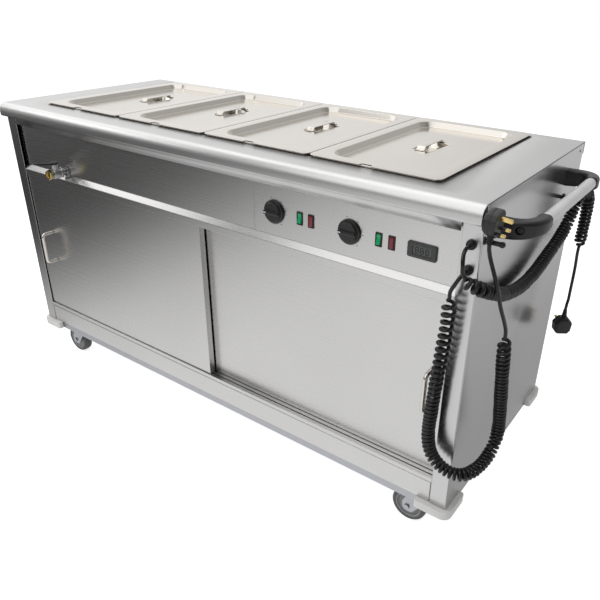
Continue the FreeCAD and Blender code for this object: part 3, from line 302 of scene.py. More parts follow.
def roundedLoop(halfX, halfY, corner, steps=8, extra=None):
    # quarter circles about the corners' centres, anticlockwise; extra points stand along the front side
    turn = np.radians(np.arange(4)[:, None] * 90 + np.linspace(0, 90, steps + 1)[None, :])
    signs = np.array([(1, 1), (-1, 1), (-1, -1), (1, -1)])[:, None, :]
    corner = min(corner, halfX, halfY)
    centres = signs * (np.array([halfX, halfY]) - corner)
    loop = centres + corner * np.stack([np.cos(turn), np.sin(turn)], -1)
    if extra is None:
        return loop.reshape(-1, 2)
    front = extra + np.array([0, -halfY])
    return np.vstack([loop[:3].reshape(-1, 2), front, loop[3]])


def placed(flat, height, centre, axes):
    # point = centre + u first + v second + height third, for a grid of (u, v) and a height for each row
    axes = np.array(axes, float)
    return np.asarray(centre) + flat @ axes[:2] + np.asarray(height)[:, None, None] * axes[2]


def raised(rows, centre, axes, steps=5, caps=(True, True), finish=0):
    # rounded rectangles one on the other: each row is half width, half height, corner and height
    flat = np.stack([roundedLoop(a, b, c, steps) for a, b, c, _ in rows])
    return skin(placed(flat, [row[3] for row in rows], centre, axes), caps=caps, finish=finish)


def layered(loop, rows, centre, axes, caps=(True, True), finish=0):
    # one outline at several heights, each scaled about its own middle: rows are scale and height
    flat = np.stack([loop * scale for scale, _ in rows])
    return skin(placed(flat, [row[1] for row in rows], centre, axes), caps=caps, finish=finish)


def turned(profile, centre, axes, count=48, loop=False, finish=0):
    # point = centre + r (cos t first + sin t second) + h third, for a profile of (r, h)
    profile = np.array(profile, float)
    t = np.linspace(0, 2 * math.pi, count, endpoint=False)
    flat = profile[:, 0, None, None] * np.stack([np.cos(t), np.sin(t)], -1)[None]
    return skin(placed(flat, profile[:, 1], centre, axes), around=(loop, True), finish=finish)


frontAxes = ((1, 0, 0), (0, 0, 1), (0, -1, 0))  # right, up and out of the front
upAxes = ((1, 0, 0), (0, 1, 0), (0, 0, 1))
bodyRight, worktopTop, panelFace, controlHeight = 1.556, 0.9, 0.01, 0.7756

lidFacts = {
    "centres": [0.2875, 0.6145, 0.9415, 1.2685],
    "middle": 0.32625,  # behind the post face
    "half": (0.1625, 0.265),
    "seat": 0.9063,  # underside of the border
    "thick": 0.001,
    "corner": (0.016, 0.045),  # at the edge and round the well
    "border": 0.031,
    "slope": (0.009, 0.014),  # run and fall of the well's side
    "bends": (0.0025, 0.004),
    "notch": (0.012, 0.014, 0.011),  # shift to the left, half width, depth
    "dish": (0.055, 0.047, 0.014),  # radius above, radius below, depth
    "dishPlace": (-0.008, 0.028),
    "strap": (0.022, 0.06, 0.0085, 0.009, 0.006),  # width, half length, rise, tab, ramp
    "strapSheet": 0.0018,
    "sheet": 0.0009,
}


def lidSkins(x, facts):
    # border and well: the profile (inset, height) carried round a rounded rectangle, its edge pushed in
    # at the notch by depth x sqrt(sin t); the well's floor is ruled to the round dish, whose profile turns
    halfX, halfY = facts["half"]
    run, fall = facts["slope"]
    border = facts["border"]
    top = facts["seat"] + facts["thick"]
    path = roundedPath([(0.015, 0), (border, 0), (border + run, -fall), (border + run + 0.02, -fall)],
        facts["bends"])
    path = np.vstack([[(0, -0.0006), (0.0003, -0.0001), (0.0009, 0)], path])
    shift, halfNotch, depth = facts["notch"]
    t = np.linspace(math.pi, 0, 25)
    cut = np.stack([-shift + halfNotch * np.sign(np.cos(t)) * np.abs(np.cos(t)) ** 0.5, 0 * t], -1)
    push = np.stack([0 * t, depth * np.sqrt(np.abs(np.sin(t)))], -1)
    loops = []
    for inset, _ in path:
        share = min(inset / 0.025, 1)
        edge, inner = facts["corner"]
        corner = edge + (inner - edge) * share - max(inset - border, 0)
        loops.append(roundedLoop(halfX - inset, halfY - inset, corner, 10, cut + push * (inset < 0.001)))
    flat = np.stack(loops)
    centre = np.array([x, facts["middle"], top])
    well = placed(flat, path[:, 1], centre, upAxes)
    wide, narrow, deep = facts["dish"]
    dish = roundedPath([(wide + 0.004, 0), (wide, 0), (narrow, -deep), (0.0, -deep)], (0.003, 0.005))
    at = centre + np.array([*facts["dishPlace"], -fall])
    angle = np.arctan2(*(well[-1, :, :2] - at[:2]).T[::-1])
    ring = dish[:, 0, None, None] * np.stack([np.cos(angle), np.sin(angle)], -1)[None]
    bowl = placed(ring, dish[:, 1], at, upAxes)
    return skin(np.concatenate([well, bowl])), at


def strapSkin(at, facts):
    # a bent strip: a flat rounded section carried along the strap's path in the lid's length
    width, half, rise, tab, ramp = facts["strap"]
    thick = facts["strapSheet"]
    y, low = half - tab, 0.0006
    line = [(-half, low), (-y, low), (ramp - y, rise), (y - ramp, rise), (y, low), (half, low)]
    path = roundedPath(line, (0.003, 0.003, 0.003, 0.003), 4)
    ahead = unit(np.gradient(path, axis=0))
    section = roundedLoop(width / 2, thick / 2, thick * 0.45, 3)
    lift = np.stack([-ahead[:, 1], ahead[:, 0]], -1)
    points = np.zeros((len(path), len(section), 3))
    points[..., 0] = section[None, :, 0]
    points[..., 1:] = path[:, None, :] + section[None, :, 1, None] * lift[:, None, :]
    return skin(points + at, caps=(True, True))


worktopFacts = {
    "outline": [(0.6173, 0.87), (0.6173, 0.9), (-0.017, 0.9), (-0.017, 0.864), (-0.0003, 0.864),
        (-0.0003, 0.841)],
    "bends": (0.003, 0.022, 0.004, 0.0015),
    "ends": (0.0, 0.0015, 0.045, 0.133, 1.423, 1.511, 1.5545, 1.556),  # along the body: slots, opening
    "opening": (0.07025, 0.58225),
    "strip": (-0.001, 0.8639),  # behind and below this, the strip stops at the slots
    "sheet": 0.0015,
}


def worktopSkin(facts):
    # the outline with its bends, drawn out along the body; the opening and the strip's ends are left out
    path = roundedPath(facts["outline"], facts["bends"], 12)
    near, far = facts["opening"]
    before = np.argmax(path[:, 0] < far)
    path = np.insert(path, before, [(far, worktopTop), (near, worktopTop)], axis=0)
    along = np.array(facts["ends"])
    points = np.zeros((len(path), len(along), 3))
    points[..., 0] = along[None, :]
    points[..., 1:] = path[:, None, :]
    found, faces, finish = skin(points, around=(False, False))
    faces = np.array(faces)
    middle = found[faces].mean(1)
    x, y, z = middle.T
    hole = (abs(y - (near + far) / 2) < (far - near) / 2) & (x > along[3]) & (x < along[4])
    behind, below = facts["strip"]
    ends = ((x < along[2]) | (x > along[5])) & (y > behind) & (z < below)
    return found, faces[~(hole | ends)].tolist(), finish


sheetPiece("worktopSheet", worktopSkin(worktopFacts), worktopFacts["sheet"], steelWorktop, "cabinet",
    "worktop")
print("worktop folded")

panFacts = {
    "rim": (0.1585, 0.261),  # half width, half length
    "body": (0.1505, 0.253),
    "floor": (0.1385, 0.241),
    "seat": 0.9003,
    "top": 0.906,
    "deep": 0.15,
    "corners": (0.013, 0.05, 0.055),
    "sheet": 0.0009,
}


def panSkin(x, facts):
    # rounded rectangles one below the other: rim's edge, rim, and a body that narrows to its floor
    (a, b), (c, d), (e, f) = facts["rim"], facts["body"], facts["floor"]
    edge, mouth, base = facts["corners"]
    top, low = facts["top"], facts["top"] - facts["deep"]
    rows = [(a, b, edge, facts["seat"]), (a, b, edge, top - 0.0012),
        (a - 0.0004, b - 0.0004, edge, top - 0.0003), (a - 0.0014, b - 0.0014, edge, top),
        (c + 0.003, d + 0.003, mouth, top), (c + 0.0008, d + 0.0008, mouth, top - 0.001),
        (c, d, mouth, top - 0.004), (e + 0.001, f + 0.001, base, low + 0.012),
        (e - 0.003, f - 0.003, base, low + 0.003), (e - 0.012, f - 0.012, base, low)]
    return raised(rows, (x, lidFacts["middle"], 0), upAxes, 10, caps=(False, True))


for number, x in enumerate(lidFacts["centres"], 1):
    sheetPiece(f"deepPan{number}", panSkin(x, panFacts), panFacts["sheet"], steelPolished,
        f"pan_{number}_body", f"pan_{number}")
print("pans drawn")

for number, x in enumerate(lidFacts["centres"], 1):
    shell, dishAt = lidSkins(x, lidFacts)
    sheetPiece(f"pressedLid{number}", shell, lidFacts["sheet"], steelPolished, f"lid_{number}_body",
        f"lid_{number}")
    makePiece(f"strapHandle{number}", [strapSkin(dishAt, lidFacts)], [steelPolished], f"lid_{number}_body")
print("lids pressed")

knobFacts = {
    "places": {"left": 1.0513, "right": 1.2578},
    "skirt": [(0, 0.0006), (0.0272, 0.0006), (0.0278, 0.0012), (0.0278, 0.004), (0.027, 0.0052),
        (0.0246, 0.0058)],
    "hub": [(0.0238, 0.0068), (0.0228, 0.0098), (0.0215, 0.0108), (0, 0.0112)],
    "bar": (0.0232, 0.0052, 0.0158),  # half length, half width, height
    "tick": (0.0042, 0.001),
    "dots": (0.0335, (-13, 37, 91, 143), 0.0013),  # ring's radius, clockwise from the top, dot's radius
}


def knobSkins(x, facts):
    # a turned skirt and hub, a bar with rounded ends and edges, and a tick on the bar's left end
    centre = (x, panelFace, controlHeight)
    base = turned(facts["skirt"] + facts["hub"], centre, frontAxes, 64)
    long, wide, high = facts["bar"]
    rows = [(long, wide, 0.005, 0.01), (long - 0.0004, wide - 0.0004, 0.005, high - 0.0016),
        (long - 0.0009, wide - 0.0009, 0.0045, high - 0.0005), (long - 0.0022, wide - 0.0022, 0.0033, high)]
    bar = raised(rows, centre, frontAxes, 8)
    tickLong, tickWide = facts["tick"]
    at = np.array(centre) + (-long + tickLong + 0.0015, 0, 0)
    tick = raised([(tickLong, tickWide, 0.0004, high - 0.001),
        (tickLong, tickWide, 0.0004, high + 0.00006)],
        at, frontAxes, 2, finish=1)
    shaft = turned([(0, 0.002), (0.003, 0.002), (0.003, -0.02), (0, -0.02)], centre, frontAxes, 24)
    return [base, bar, tick, shaft]


def dotSkins(facts):
    # dots printed on a ring round each knob, as thin flat discs
    ring, angles, size = facts["dots"]
    found = []
    for x in facts["places"].values():
        for angle in np.radians(angles):
            at = (x + ring * math.sin(angle), panelFace, controlHeight + ring * math.cos(angle))
            found.append(turned([(0, 0), (size, 0), (size, 0.00006), (0, 0.00006)], at, frontAxes, 16))
    return found


for side, x in knobFacts["places"].items():
    makePiece("controlKnob" + side.title(), knobSkins(x, knobFacts), [blackMoulding, tickWhite],
        side + "_knob", ("knob_" + side,), 32)
makePiece("dialDots", dotSkins(knobFacts), [printBlack], "cabinet")
print("knobs turned")

switchFacts = {
    "rockers": {"left": 1.1247, "right": 1.3302},
    "lamps": (1.1561, 1.3613),
    "half": (0.008, 0.0155),
    "well": (0.0053, 0.0128, 0.0118),  # half width, half height, depth behind the face
    "proud": 0.002,
    "behind": 0.0235,
    "tilt": 8,  # degrees
    "rocker": (0.0113, 0.0048),  # half height, half width
    "sink": (0.0043, 0.002),  # front's height above the face, and how far its middle sinks
}


def bezelSkins(x, facts):
    # a rim with rounded edges that turns in to the well, and the plain box behind the panel
    a, b = facts["half"]
    w, h, deep = facts["well"]
    proud = facts["proud"]
    rows = [(a, b, 0.0012, 0), (a, b, 0.0012, proud - 0.0007),
        (a - 0.0002, b - 0.0002, 0.0011, proud - 0.0002),
        (a - 0.0007, b - 0.0007, 0.001, proud), (w + 0.0006, h + 0.0006, 0.0008, proud),
        (w, h, 0.0006, proud - 0.0006), (w, h, 0.0006, -deep)]
    centre = (x, panelFace, controlHeight)
    rim = raised(rows, centre, frontAxes, 4, caps=(False, True))
    behind = [(a - 0.0018, b - 0.0018, 0.0005, -facts["behind"]), (a - 0.0018, b - 0.0018, 0.0005, -0.0001)]
    return [rim, raised(behind, centre, frontAxes, 2, caps=(True, False))]


def lensSkin(x, facts):
    # an indicator lens with a softly domed front
    w, h, deep = facts["well"]
    w, h = w - 0.0003, h - 0.0003
    rows = [(w, h, 0.0008, -deep + 0.001), (w, h, 0.0008, 0.0024), (w - 0.0003, h - 0.0003, 0.0007, 0.003),
        (w - 0.0012, h - 0.0012, 0.001, 0.0034), (w - 0.0032, h - 0.004, 0.001, 0.0036)]
    return raised(rows, (x, panelFace, controlHeight), frontAxes, 4)


def rockerSkin(x, facts):
    # a bar across the well whose front sinks to its middle: out = high - sink (1 - (z / half)^2)
    half, wide = facts["rocker"]
    high, sink = facts["sink"]
    z = np.linspace(-half, half, 17)
    out = high - sink * (1 - (z / half) ** 2)
    edge = np.clip((half - np.abs(z)) / 0.0008, 0, 1) ** 0.5
    out = out - 0.0008 * (1 - edge)
    across = np.array([-1, -1, -0.93, -0.8, 0.8, 0.93, 1, 1]) * wide
    inward = np.array([0, -0.0006, -0.0001, 0, 0, -0.0001, -0.0006, 0])
    front = out[:, None] + inward[None, :]
    front[:, [0, -1]] = -0.006
    local = np.stack(np.broadcast_arrays(across[None, :], -front, z[:, None]), -1)
    tilt = math.radians(-facts["tilt"])
    pivot = np.array([0, 0.003, 0])
    about = np.array([(1, 0, 0), (0, math.cos(tilt), math.sin(tilt)), (0, -math.sin(tilt), math.cos(tilt))])
    return skin((local - pivot) @ about + pivot + (x, panelFace, controlHeight), caps=(True, True))


housings = []
for x in (*switchFacts["rockers"].values(), *switchFacts["lamps"]):
    housings += bezelSkins(x, switchFacts)
makePiece("switchBezels", housings, [blackMoulding], "cabinet", ("switch_housings",))
makePiece("indicatorLenses", [lensSkin(x, switchFacts) for x in switchFacts["lamps"]], [redLens], "cabinet",
    ("neon_lamps",))
for side, x in switchFacts["rockers"].items():
    makePiece("rockerCap" + side.title(), [rockerSkin(x, switchFacts)], [greenLens], side + "_rocker",
        ("rocker_" + side,), 50)
print("switches fitted")

displayFacts = {
    "place": 1.4315,
    "half": (0.0325, 0.0165),
    "window": (0.0205, 0.009, 0.0012),
    "digits": (-0.0115, 0.0, 0.0115),
    "digit": (0.0034, 0.0058, 0.0007),  # half width, half height, half stroke
}


def displaySkins(facts):
    # a frame with eased edges, its sunk window, unlit seven-bar figures in it, and the box behind
    centre = (facts["place"], panelFace, controlHeight)
    a, b = facts["half"]
    w, h, c = facts["window"]
    rows = [(a, b, 0.0035, 0), (a, b, 0.0035, 0.0032), (a - 0.0003, b - 0.0003, 0.0033, 0.0037),
        (a - 0.001, b - 0.001, 0.0028, 0.004), (w + 0.001, h + 0.001, c, 0.004), (w, h, c, 0.0036),
        (w, h, c, 0.0022)]
    found = [raised(rows, centre, frontAxes, 5, caps=(False, False))]
    found.append(raised([(w, h, c, 0.0022), (w, h, c, 0.00219)], centre, frontAxes, 5, (True, False), 1))
    found.append(raised([(0.024, 0.0107, 0.001, -0.0115),
        (0.024, 0.0107, 0.001, 0.0)], centre, frontAxes, 2))
    wide, high, stroke = facts["digit"]
    bars = [(0, high, True), (0, 0, True), (0, -high, True), (-wide, high / 2, False),
        (wide, high / 2, False), (-wide, -high / 2, False), (wide, -high / 2, False)]
    for shift in facts["digits"]:
        for u, v, level in bars:
            size = (wide - 0.0008, stroke) if level else (stroke, high / 2 - 0.0008)
            at = np.array(centre) + (shift + u, 0, v)
            found.append(raised([(*size, 0.0003, 0.0021), (*size, 0.0003, 0.00226)], at, frontAxes, 1,
                finish=2))
    return found


makePiece("smallDisplay", displaySkins(displayFacts), [displayGrey, panelGlass, segmentGrey], "cabinet",
    ("display",))
print("display fitted")

tapFacts = {
    "place": (0.24, 0.0, 0.7265),
    "barrel": [(0.0065, -0.0096), (0.01, -0.0096), (0.01, -0.0002), (0.015, 0.0), (0.0158, 0.001),
        (0.0158, 0.007), (0.0146, 0.0082), (0.0146, 0.0112), (0.0157, 0.0124), (0.0157, 0.029),
        (0.015, 0.0304), (0.0132, 0.031), (0.0132, 0.0352)],
    "nut": [(0.62, 0.035), (0.92, 0.0352), (1.0, 0.0362), (1.0, 0.044), (0.92, 0.045), (0.66, 0.045),
        (0.62, 0.0425)],
    "nutRadius": 0.015,
    "pivot": 0.02,  # in front of the post face
    "boss": [(0.0115, 0.004), (0.0115, 0.0262), (0.0107, 0.0275), (0, 0.0279)],
    "lever": (0.0283, 0.06, 0.008, 0.01, 0.004),  # height, length, half widths, thickness
    "lift": 0.012,  # of the lever's tip
}


def tapSkins(facts):
    # a turned barrel and boss, and a six-sided nut with eased edges
    at = np.array(facts["place"])
    t = np.radians(np.arange(0, 360, 5))
    apothem = facts["nutRadius"] * math.cos(math.pi / 6)
    reach = apothem / np.cos((t + math.pi / 6) % (math.pi / 3) - math.pi / 6)
    six = np.stack([np.cos(t), np.sin(t)], -1) * reach[:, None]
    barrel = turned(facts["barrel"], at, frontAxes, 48)
    boss = turned(facts["boss"], at + (0, -facts["pivot"], 0), upAxes, 36)
    return [barrel, boss, layered(six, facts["nut"], at, frontAxes, (False, True), 1)]


def leverSkins(facts):
    # a flat blade, wider and rounded at its tip, on a turned hub with its stem
    low, length, root, tip, thick = facts["lever"]
    at = np.array(facts["place"]) + (0, -facts["pivot"], low)
    s = np.linspace(0, 1, 12)
    t = np.linspace(0, math.pi, 12)[1:-1]
    side = np.stack([root + (tip - root) * s, -(length - tip) * s], -1)
    end = np.stack([tip * np.cos(t), -(length - tip) - tip * np.sin(t)], -1)
    loop = np.vstack([side, end, side[::-1] * (-1, 1)])[::-1]
    heart = np.array([0, -length / 2])
    rows = [(0.985, 0), (1, 0.0006), (1, thick - 0.001), (0.985, thick - 0.0003), (0.95, thick)]
    points, faces, finish = layered(loop - heart, rows, at + (0, heart[1], 0), upAxes)
    away = np.clip((at[1] - 0.01 - points[:, 1]) / length, 0, 1)
    points = points + np.stack([0 * away, 0 * away, facts["lift"] * away], -1)
    blade = (points, faces, finish)
    hub = turned([(0, 0), (0.0106, 0), (0.011, 0.0005), (0.011, 0.005), (0.01, 0.006), (0, 0.0062)], at,
        upAxes, 36)
    stem = turned([(0, -0.01), (0.004, -0.01), (0.004, 0.001), (0, 0.001)], at, upAxes, 24)
    return [blade, hub, stem]


makePiece("drainTap", tapSkins(tapFacts), [nickelGrey, brassBright], "cabinet", ("tap_body",), 30)
makePiece("tapLever", leverSkins(tapFacts), [blackMoulding], "lever", ("tap_lever",))
print("tap fitted")

wheelFacts = {
    "places": [(0.084, 0.081), (0.084, 0.533), (1.472, 0.081), (1.472, 0.533)],
    "trail": 0.042,
    "radius": 0.048,
    "tyre": [(0.037, -0.015), (0.041, -0.015), (0.0445, -0.014), (0.047, -0.011), (0.048, -0.006),
        (0.048, 0.006), (0.047, 0.011), (0.0445, 0.014), (0.041, 0.015), (0.037, 0.015)],
    "hub": [(0.0041, -0.0176), (0.0108, -0.0176), (0.012, -0.0165), (0.013, -0.008), (0.015, -0.0065),
        (0.03, -0.0065), (0.0318, -0.008), (0.0328, -0.013), (0.034, -0.0136), (0.0371, -0.0136)],
}


def wheelSkins(place, facts):
    # the tyre's closed profile and the hub's, which is the same on both sides, turned about the axle
    centre = (place[0] - facts["trail"], place[1], facts["radius"])
    half = facts["hub"]
    hub = half + [(r, -h) for r, h in half[::-1]]
    return [turned(facts["tyre"], centre, frontAxes, 64, True), turned(hub, centre, frontAxes, 64, True, 1)]


for number, place in enumerate(wheelFacts["places"], 1):
    makePiece(f"castorWheel{number}", wheelSkins(place, wheelFacts), [tyreGrey, wheelGrey], f"wheel_{number}",
        (f"castor_wheel_{number}",), 30)
print("wheels turned")

bracketFacts = {
    "roots": {"Front": (0.0845, 1), "Back": (0.5155, -1)},
    "axis": (0.0655, 0.843),  # tube's axis from the end panel, and above the floor
    "bend": 0.044,
    "straight": 0.013,
    "root": (0.0155, 0.0195, 0.006),  # half width, half height, corner
    "end": (0.0152, 0.0105),
    "fall": 0.0095,
    "tube": (0.0135, 0.0065),  # socket's radius and depth
    "tubeEnds": (-0.4645, -0.1355),  # in front of the post face
    "tubeSlack": 0.0002,
    "bolt": (0.63, 0.0045, 0.0085, 0.004),  # share of the reach, drop, radius, depth past the middle
}


def bracketSkin(root, side, facts):
    # a rounded section carried along a straight, a quarter turn and a straight, while it shrinks to the
    # tube's socket; share = station / 7, height = axis - fall (1 - share)
    reach, axis = facts["axis"]
    bend, straight = facts["bend"], facts["straight"]
    station = np.concatenate([np.linspace(0, 1, 4), np.linspace(1, 6, 36)[1:], np.linspace(6, 7, 4)[1:]])
    share = station / 7
    angle = np.clip(station - 1, 0, 5) * math.pi / 10
    x = bodyRight + (reach - bend) * np.clip(station, 0, 1) + bend * np.sin(angle)
    y = root + side * (bend * (1 - np.cos(angle)) + straight * np.clip(station - 6, 0, 1))
    z = axis - facts["fall"] * (1 - share)
    end, endCorner = facts["end"]
    ends = (end, end, endCorner)
    sizes = [first + (last - first) * share for first, last in zip(facts["root"], ends)]
    lip, hole = facts["tube"]
    last = y[-1]
    grow = [(-0.0006, end - 0.0004), (-0.0001, end - 0.0012), (0, lip), (-hole, lip)]
    loops = [roundedLoop(a, b, c, 8) for a, b, c in zip(*sizes)] + [roundedLoop(r, r, r, 8) for _, r in grow]
    x = np.concatenate([x, np.full(4, x[-1])])
    y = np.concatenate([y, [last + side * step for step, _ in grow]])
    z = np.concatenate([z, np.full(4, axis)])
    angle = np.concatenate([angle, np.full(4, math.pi / 2)])
    loops = np.stack(loops)
    across = np.stack([-side * np.sin(angle), np.cos(angle), 0 * angle], -1)
    points = np.stack([x, y, z], -1)[:, None, :] + loops[..., 0, None] * across[:, None, :]
    points[..., 2] += loops[..., 1]
    return skin(points, caps=(True, True))


def cutRound(piece, centre, axes, radius, depth):
    # a round recess taken out of a piece
    tool = bpy.data.meshes.new("tool")
    points, faces, _ = turned([(0, -depth), (radius, -depth), (radius, 0.05), (0, 0.05)], centre, axes, 40)
    tool.from_pydata(fromCorner(points).tolist(), [], faces)
    mendMesh(tool)
    cutter = linked("tool", tool)
    change = piece.modifiers.new("recess", "BOOLEAN")
    change.object, change.operation, change.solver = cutter, "DIFFERENCE", "EXACT"
    shaped = bpy.data.meshes.new_from_object(piece.evaluated_get(bpy.context.evaluated_depsgraph_get()))
    piece.modifiers.clear()
    piece.data = shaped
    shaped.shade_smooth()
    shaped.set_sharp_from_angle(angle=math.radians(30))
    bpy.data.objects.remove(cutter)


def handleBracket(end, facts):
    root, side = facts["roots"][end]
    share, drop, radius, depth = facts["bolt"]
    reach, axis = facts["axis"]
    piece = makePiece("handleBracket" + end, [bracketSkin(root, side, facts)], [blackMoulding], "cabinet",
        (), 30)
    centre = (bodyRight + share * reach, root, axis - drop)
    axes = ((side, 0, 0), (0, 0, 1), (0, -side, 0))
    cutRound(piece, centre, axes, radius, depth)
    cap = [(0, -0.002), (radius - 0.001, -0.002), (radius - 0.001, 0.0082), (radius - 0.0022, 0.0092),
        (0, 0.0094)]
    makePiece("boltCap" + end, [turned(cap, centre, axes, 32)], [printBlack], "cabinet")
    return piece


brackets = [handleBracket(end, bracketFacts) for end in bracketFacts["roots"]]
for piece in brackets:
    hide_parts("handle_brackets")
reach, high = bracketFacts["axis"]
tubeRadius = bracketFacts["tube"][0] - bracketFacts["tubeSlack"]
back, front = bracketFacts["tubeEnds"]
makePiece("pushTube", [turned([(0, back), (tubeRadius, back), (tubeRadius, front), (0, front)],
    (bodyRight + reach, 0, high), frontAxes, 64)], [tubeGrey], "cabinet", ("push_tube",))
print("brackets moulded")

glandFacts = {
    "heights": (0.767, 0.819),
    "place": 1.535,
    "flange": [(0, -0.008), (0.006, -0.008), (0.006, -0.0003), (0.01, 0), (0.01, 0.0035), (0.0092, 0.005),
        (0.0082, 0.0052)],
    "nose": [(0.0082, 0.0065), (0.0074, 0.0068), (0.0078, 0.0082), (0.007, 0.0086), (0.0074, 0.01),
        (0.0066, 0.0104), (0.0068, 0.0122), (0.0056, 0.0138), (0.0042, 0.014), (0, 0.0138)],
}
profile, x = glandFacts["flange"] + glandFacts["nose"], glandFacts["place"]
glands = [turned(profile, (x, 0, z), frontAxes, 40) for z in glandFacts["heights"]]
makePiece("cordGlands", glands, [blackMoulding], "cabinet", ("glands",))

plugFacts = {
    "half": (0.024, 0.024),
    "outline": [(-1, -0.35), (-0.92, 0.6), (-0.6, 1), (0.6, 1), (0.92, 0.6), (1, -0.35), (0.42, -1),
        (-0.42, -1)],
    "body": [(0.975, 0.0), (1.0, -0.0008), (1.0, -0.0105), (0.985, -0.0112), (0.985, -0.0122),
        (0.998, -0.013), (0.97, -0.019), (0.9, -0.0232), (0.8, -0.0252), (0.66, -0.026)],
    "thick": 0.026,
    "boot": (0.022, 0.0075, 0.005, 7),  # length, radii, rings
    "earth": (0.002, 0.004, 0.013, 0.0227),  # half width, half height, place, length
    "line": (0.003175, 0.002, -0.0132, 0.0177),
    "spacing": 0.0111,
    "sleeve": 0.0092,
    "skin": 0.00008,  # thickness of the sleeve
}
plugPlaces = {
    "a": ((1.586, -0.0105, 0.8725), (5, "Y"), (11, "X")),  # middle of the face, and its turns in degrees
    "b": ((1.604, 0.543, 0.433), (125, "Z"), (180, "X")),
}


def turnedBy(first, second):
    # one turn after another, each about an axis
    return Matrix.Rotation(math.radians(first[0]), 3, first[1]) @ Matrix.Rotation(math.radians(second[0]), 3,
        second[1])


def closedLoop(corners, radius, steps=4):
    # an outline whose corners are all rounded with one radius
    corners = np.array(corners, float)
    around = np.vstack([corners[-1:], corners, corners[:1]])
    return roundedPath(around, [radius] * len(corners), steps)[1:-1]


def plugSkins(place, turn, facts):
    # outlines one behind the other with a seam between, and a boot with rings: r = r0..r1 less a wave
    axes = np.array(turn)
    faceAxes = (axes[:, 1], axes[:, 2], axes[:, 0])
    halfW, halfH = facts["half"]
    loop = closedLoop(np.array(facts["outline"]) * (halfW, halfH), 0.004)[::-1]
    body = layered(loop, facts["body"], place, faceAxes)
    length, wide, narrow, rings = facts["boot"]
    h = np.linspace(0, 1, rings * 6 + 1)
    wave = 0.0005 * (1 - np.cos(2 * math.pi * rings * h))
    profile = np.stack([wide + (narrow - wide) * h - wave, -0.003 + (length + 0.003) * h], -1)
    start = np.array(place) - axes[:, 0] * facts["thick"] / 2 - axes[:, 2] * halfH
    profile = np.vstack([[(0, -0.004)], profile, [(0.0042, length + 0.0002), (0, length)]])
    boot = turned(profile, start, (axes[:, 1], axes[:, 0], -axes[:, 2]), 36)
    return [body, boot]


def pinSkins(place, turn, facts):
    # three bars with eased tips; the two line pins wear a sleeve at their roots
    axes = np.array(turn)
    faceAxes = (axes[:, 1], axes[:, 2], axes[:, 0])
    found = []
    for key, shifts in (("earth", [0]), ("line", [-facts["spacing"], facts["spacing"]])):
        a, b, z, length = facts[key]
        for y in shifts:
            at = np.array(place) + axes[:, 1] * y + axes[:, 2] * z
            rows = [(a, b, 0.0004, -0.001), (a, b, 0.0004, length - 0.0015),
                (a * 0.9, b * 0.9, 0.0004, length - 0.0005), (a * 0.65, b * 0.7, 0.0003, length)]
            found.append(raised(rows, at, faceAxes, 2))
            if key == "line":
                wide, high = a + facts["skin"], b + facts["skin"]
                grown = [(wide, high, 0.0004, -0.0005), (wide, high, 0.0004, facts["sleeve"])]
                found.append(raised(grown, at, faceAxes, 2, finish=1))
    return found


for key, (place, first, second) in plugPlaces.items():
    turn = turnedBy(first, second)
    body = makePiece("plug" + key.upper(), plugSkins(place, turn, plugFacts), [blackMoulding], "cabinet",
        ("plug_" + key,), 30)
    pins = makePiece("plugPins" + key.upper(), pinSkins(place, turn, plugFacts), [brassBright, blackMoulding],
        "cabinet", (f"plug_{key}_pins",), 30)
print("plugs moulded")

leadRoutes = {
    "A": {
        "exit": (1.535, -0.014, 0.767),
        "tail": [(1.535, -0.03, 0.767), (1.527, -0.034, 0.749), (1.518, -0.031, 0.732)],
        "curls": [(1.516, -0.029, 0.714), (1.517, -0.028, 0.69), (1.517, -0.028, 0.655),
            (1.513, -0.028, 0.59),
            (1.508, -0.028, 0.513), (1.505, -0.028, 0.448), (1.502, -0.028, 0.372), (1.516, -0.028, 0.322),
            (1.556, -0.03, 0.3), (1.59, -0.016, 0.294), (1.608, 0.03, 0.296), (1.613, 0.082, 0.308),
            (1.614, 0.108, 0.35), (1.613, 0.092, 0.424), (1.612, 0.074, 0.5), (1.611, 0.059, 0.566),
            (1.61, 0.052, 0.622)],
        "end": [(1.609, 0.046, 0.646), (1.608, 0.031, 0.67), (1.604, 0.015, 0.698), (1.598, 0.005, 0.732),
            (1.589, 0.003, 0.762)],
        "boot": (1.5691, -0.0017, 0.8287), "leaving": (-0.087, 0.191, -0.978),
        "pitch": [(0.0, 0.0165), (0.16, 0.0158), (0.27, 0.0104), (0.34, 0.0093), (0.88, 0.0093),
            (0.94, 0.012), (1.0, 0.018)],
    },
    "B": {
        "exit": (1.535, -0.014, 0.819),
        "tail": [(1.535, -0.032, 0.819), (1.539, -0.044, 0.804), (1.542, -0.046, 0.787)],
        "curls": [(1.546, -0.042, 0.77), (1.553, -0.038, 0.758), (1.567, -0.03, 0.75),
            (1.577, -0.012, 0.74),
            (1.577, 0.02, 0.724), (1.575, 0.073, 0.699), (1.575, 0.111, 0.682), (1.576, 0.205, 0.66),
            (1.578, 0.295, 0.664), (1.581, 0.361, 0.686), (1.585, 0.426, 0.71), (1.589, 0.462, 0.738),
            (1.594, 0.472, 0.781), (1.598, 0.49, 0.803), (1.603, 0.526, 0.807), (1.607, 0.548, 0.78),
            (1.608, 0.549, 0.732), (1.608, 0.546, 0.652)],
        "end": [(1.608, 0.547, 0.628), (1.609, 0.55, 0.6), (1.611, 0.543, 0.568), (1.612, 0.538, 0.532),
            (1.612, 0.54, 0.505)],
        "boot": (1.6115, 0.5324, 0.479), "leaving": (0.0, 0.0, 1.0),
        "pitch": [(0.0, 0.0125), (0.08, 0.0115), (0.14, 0.0092), (0.95, 0.0092), (1.0, 0.012)],
    },
}
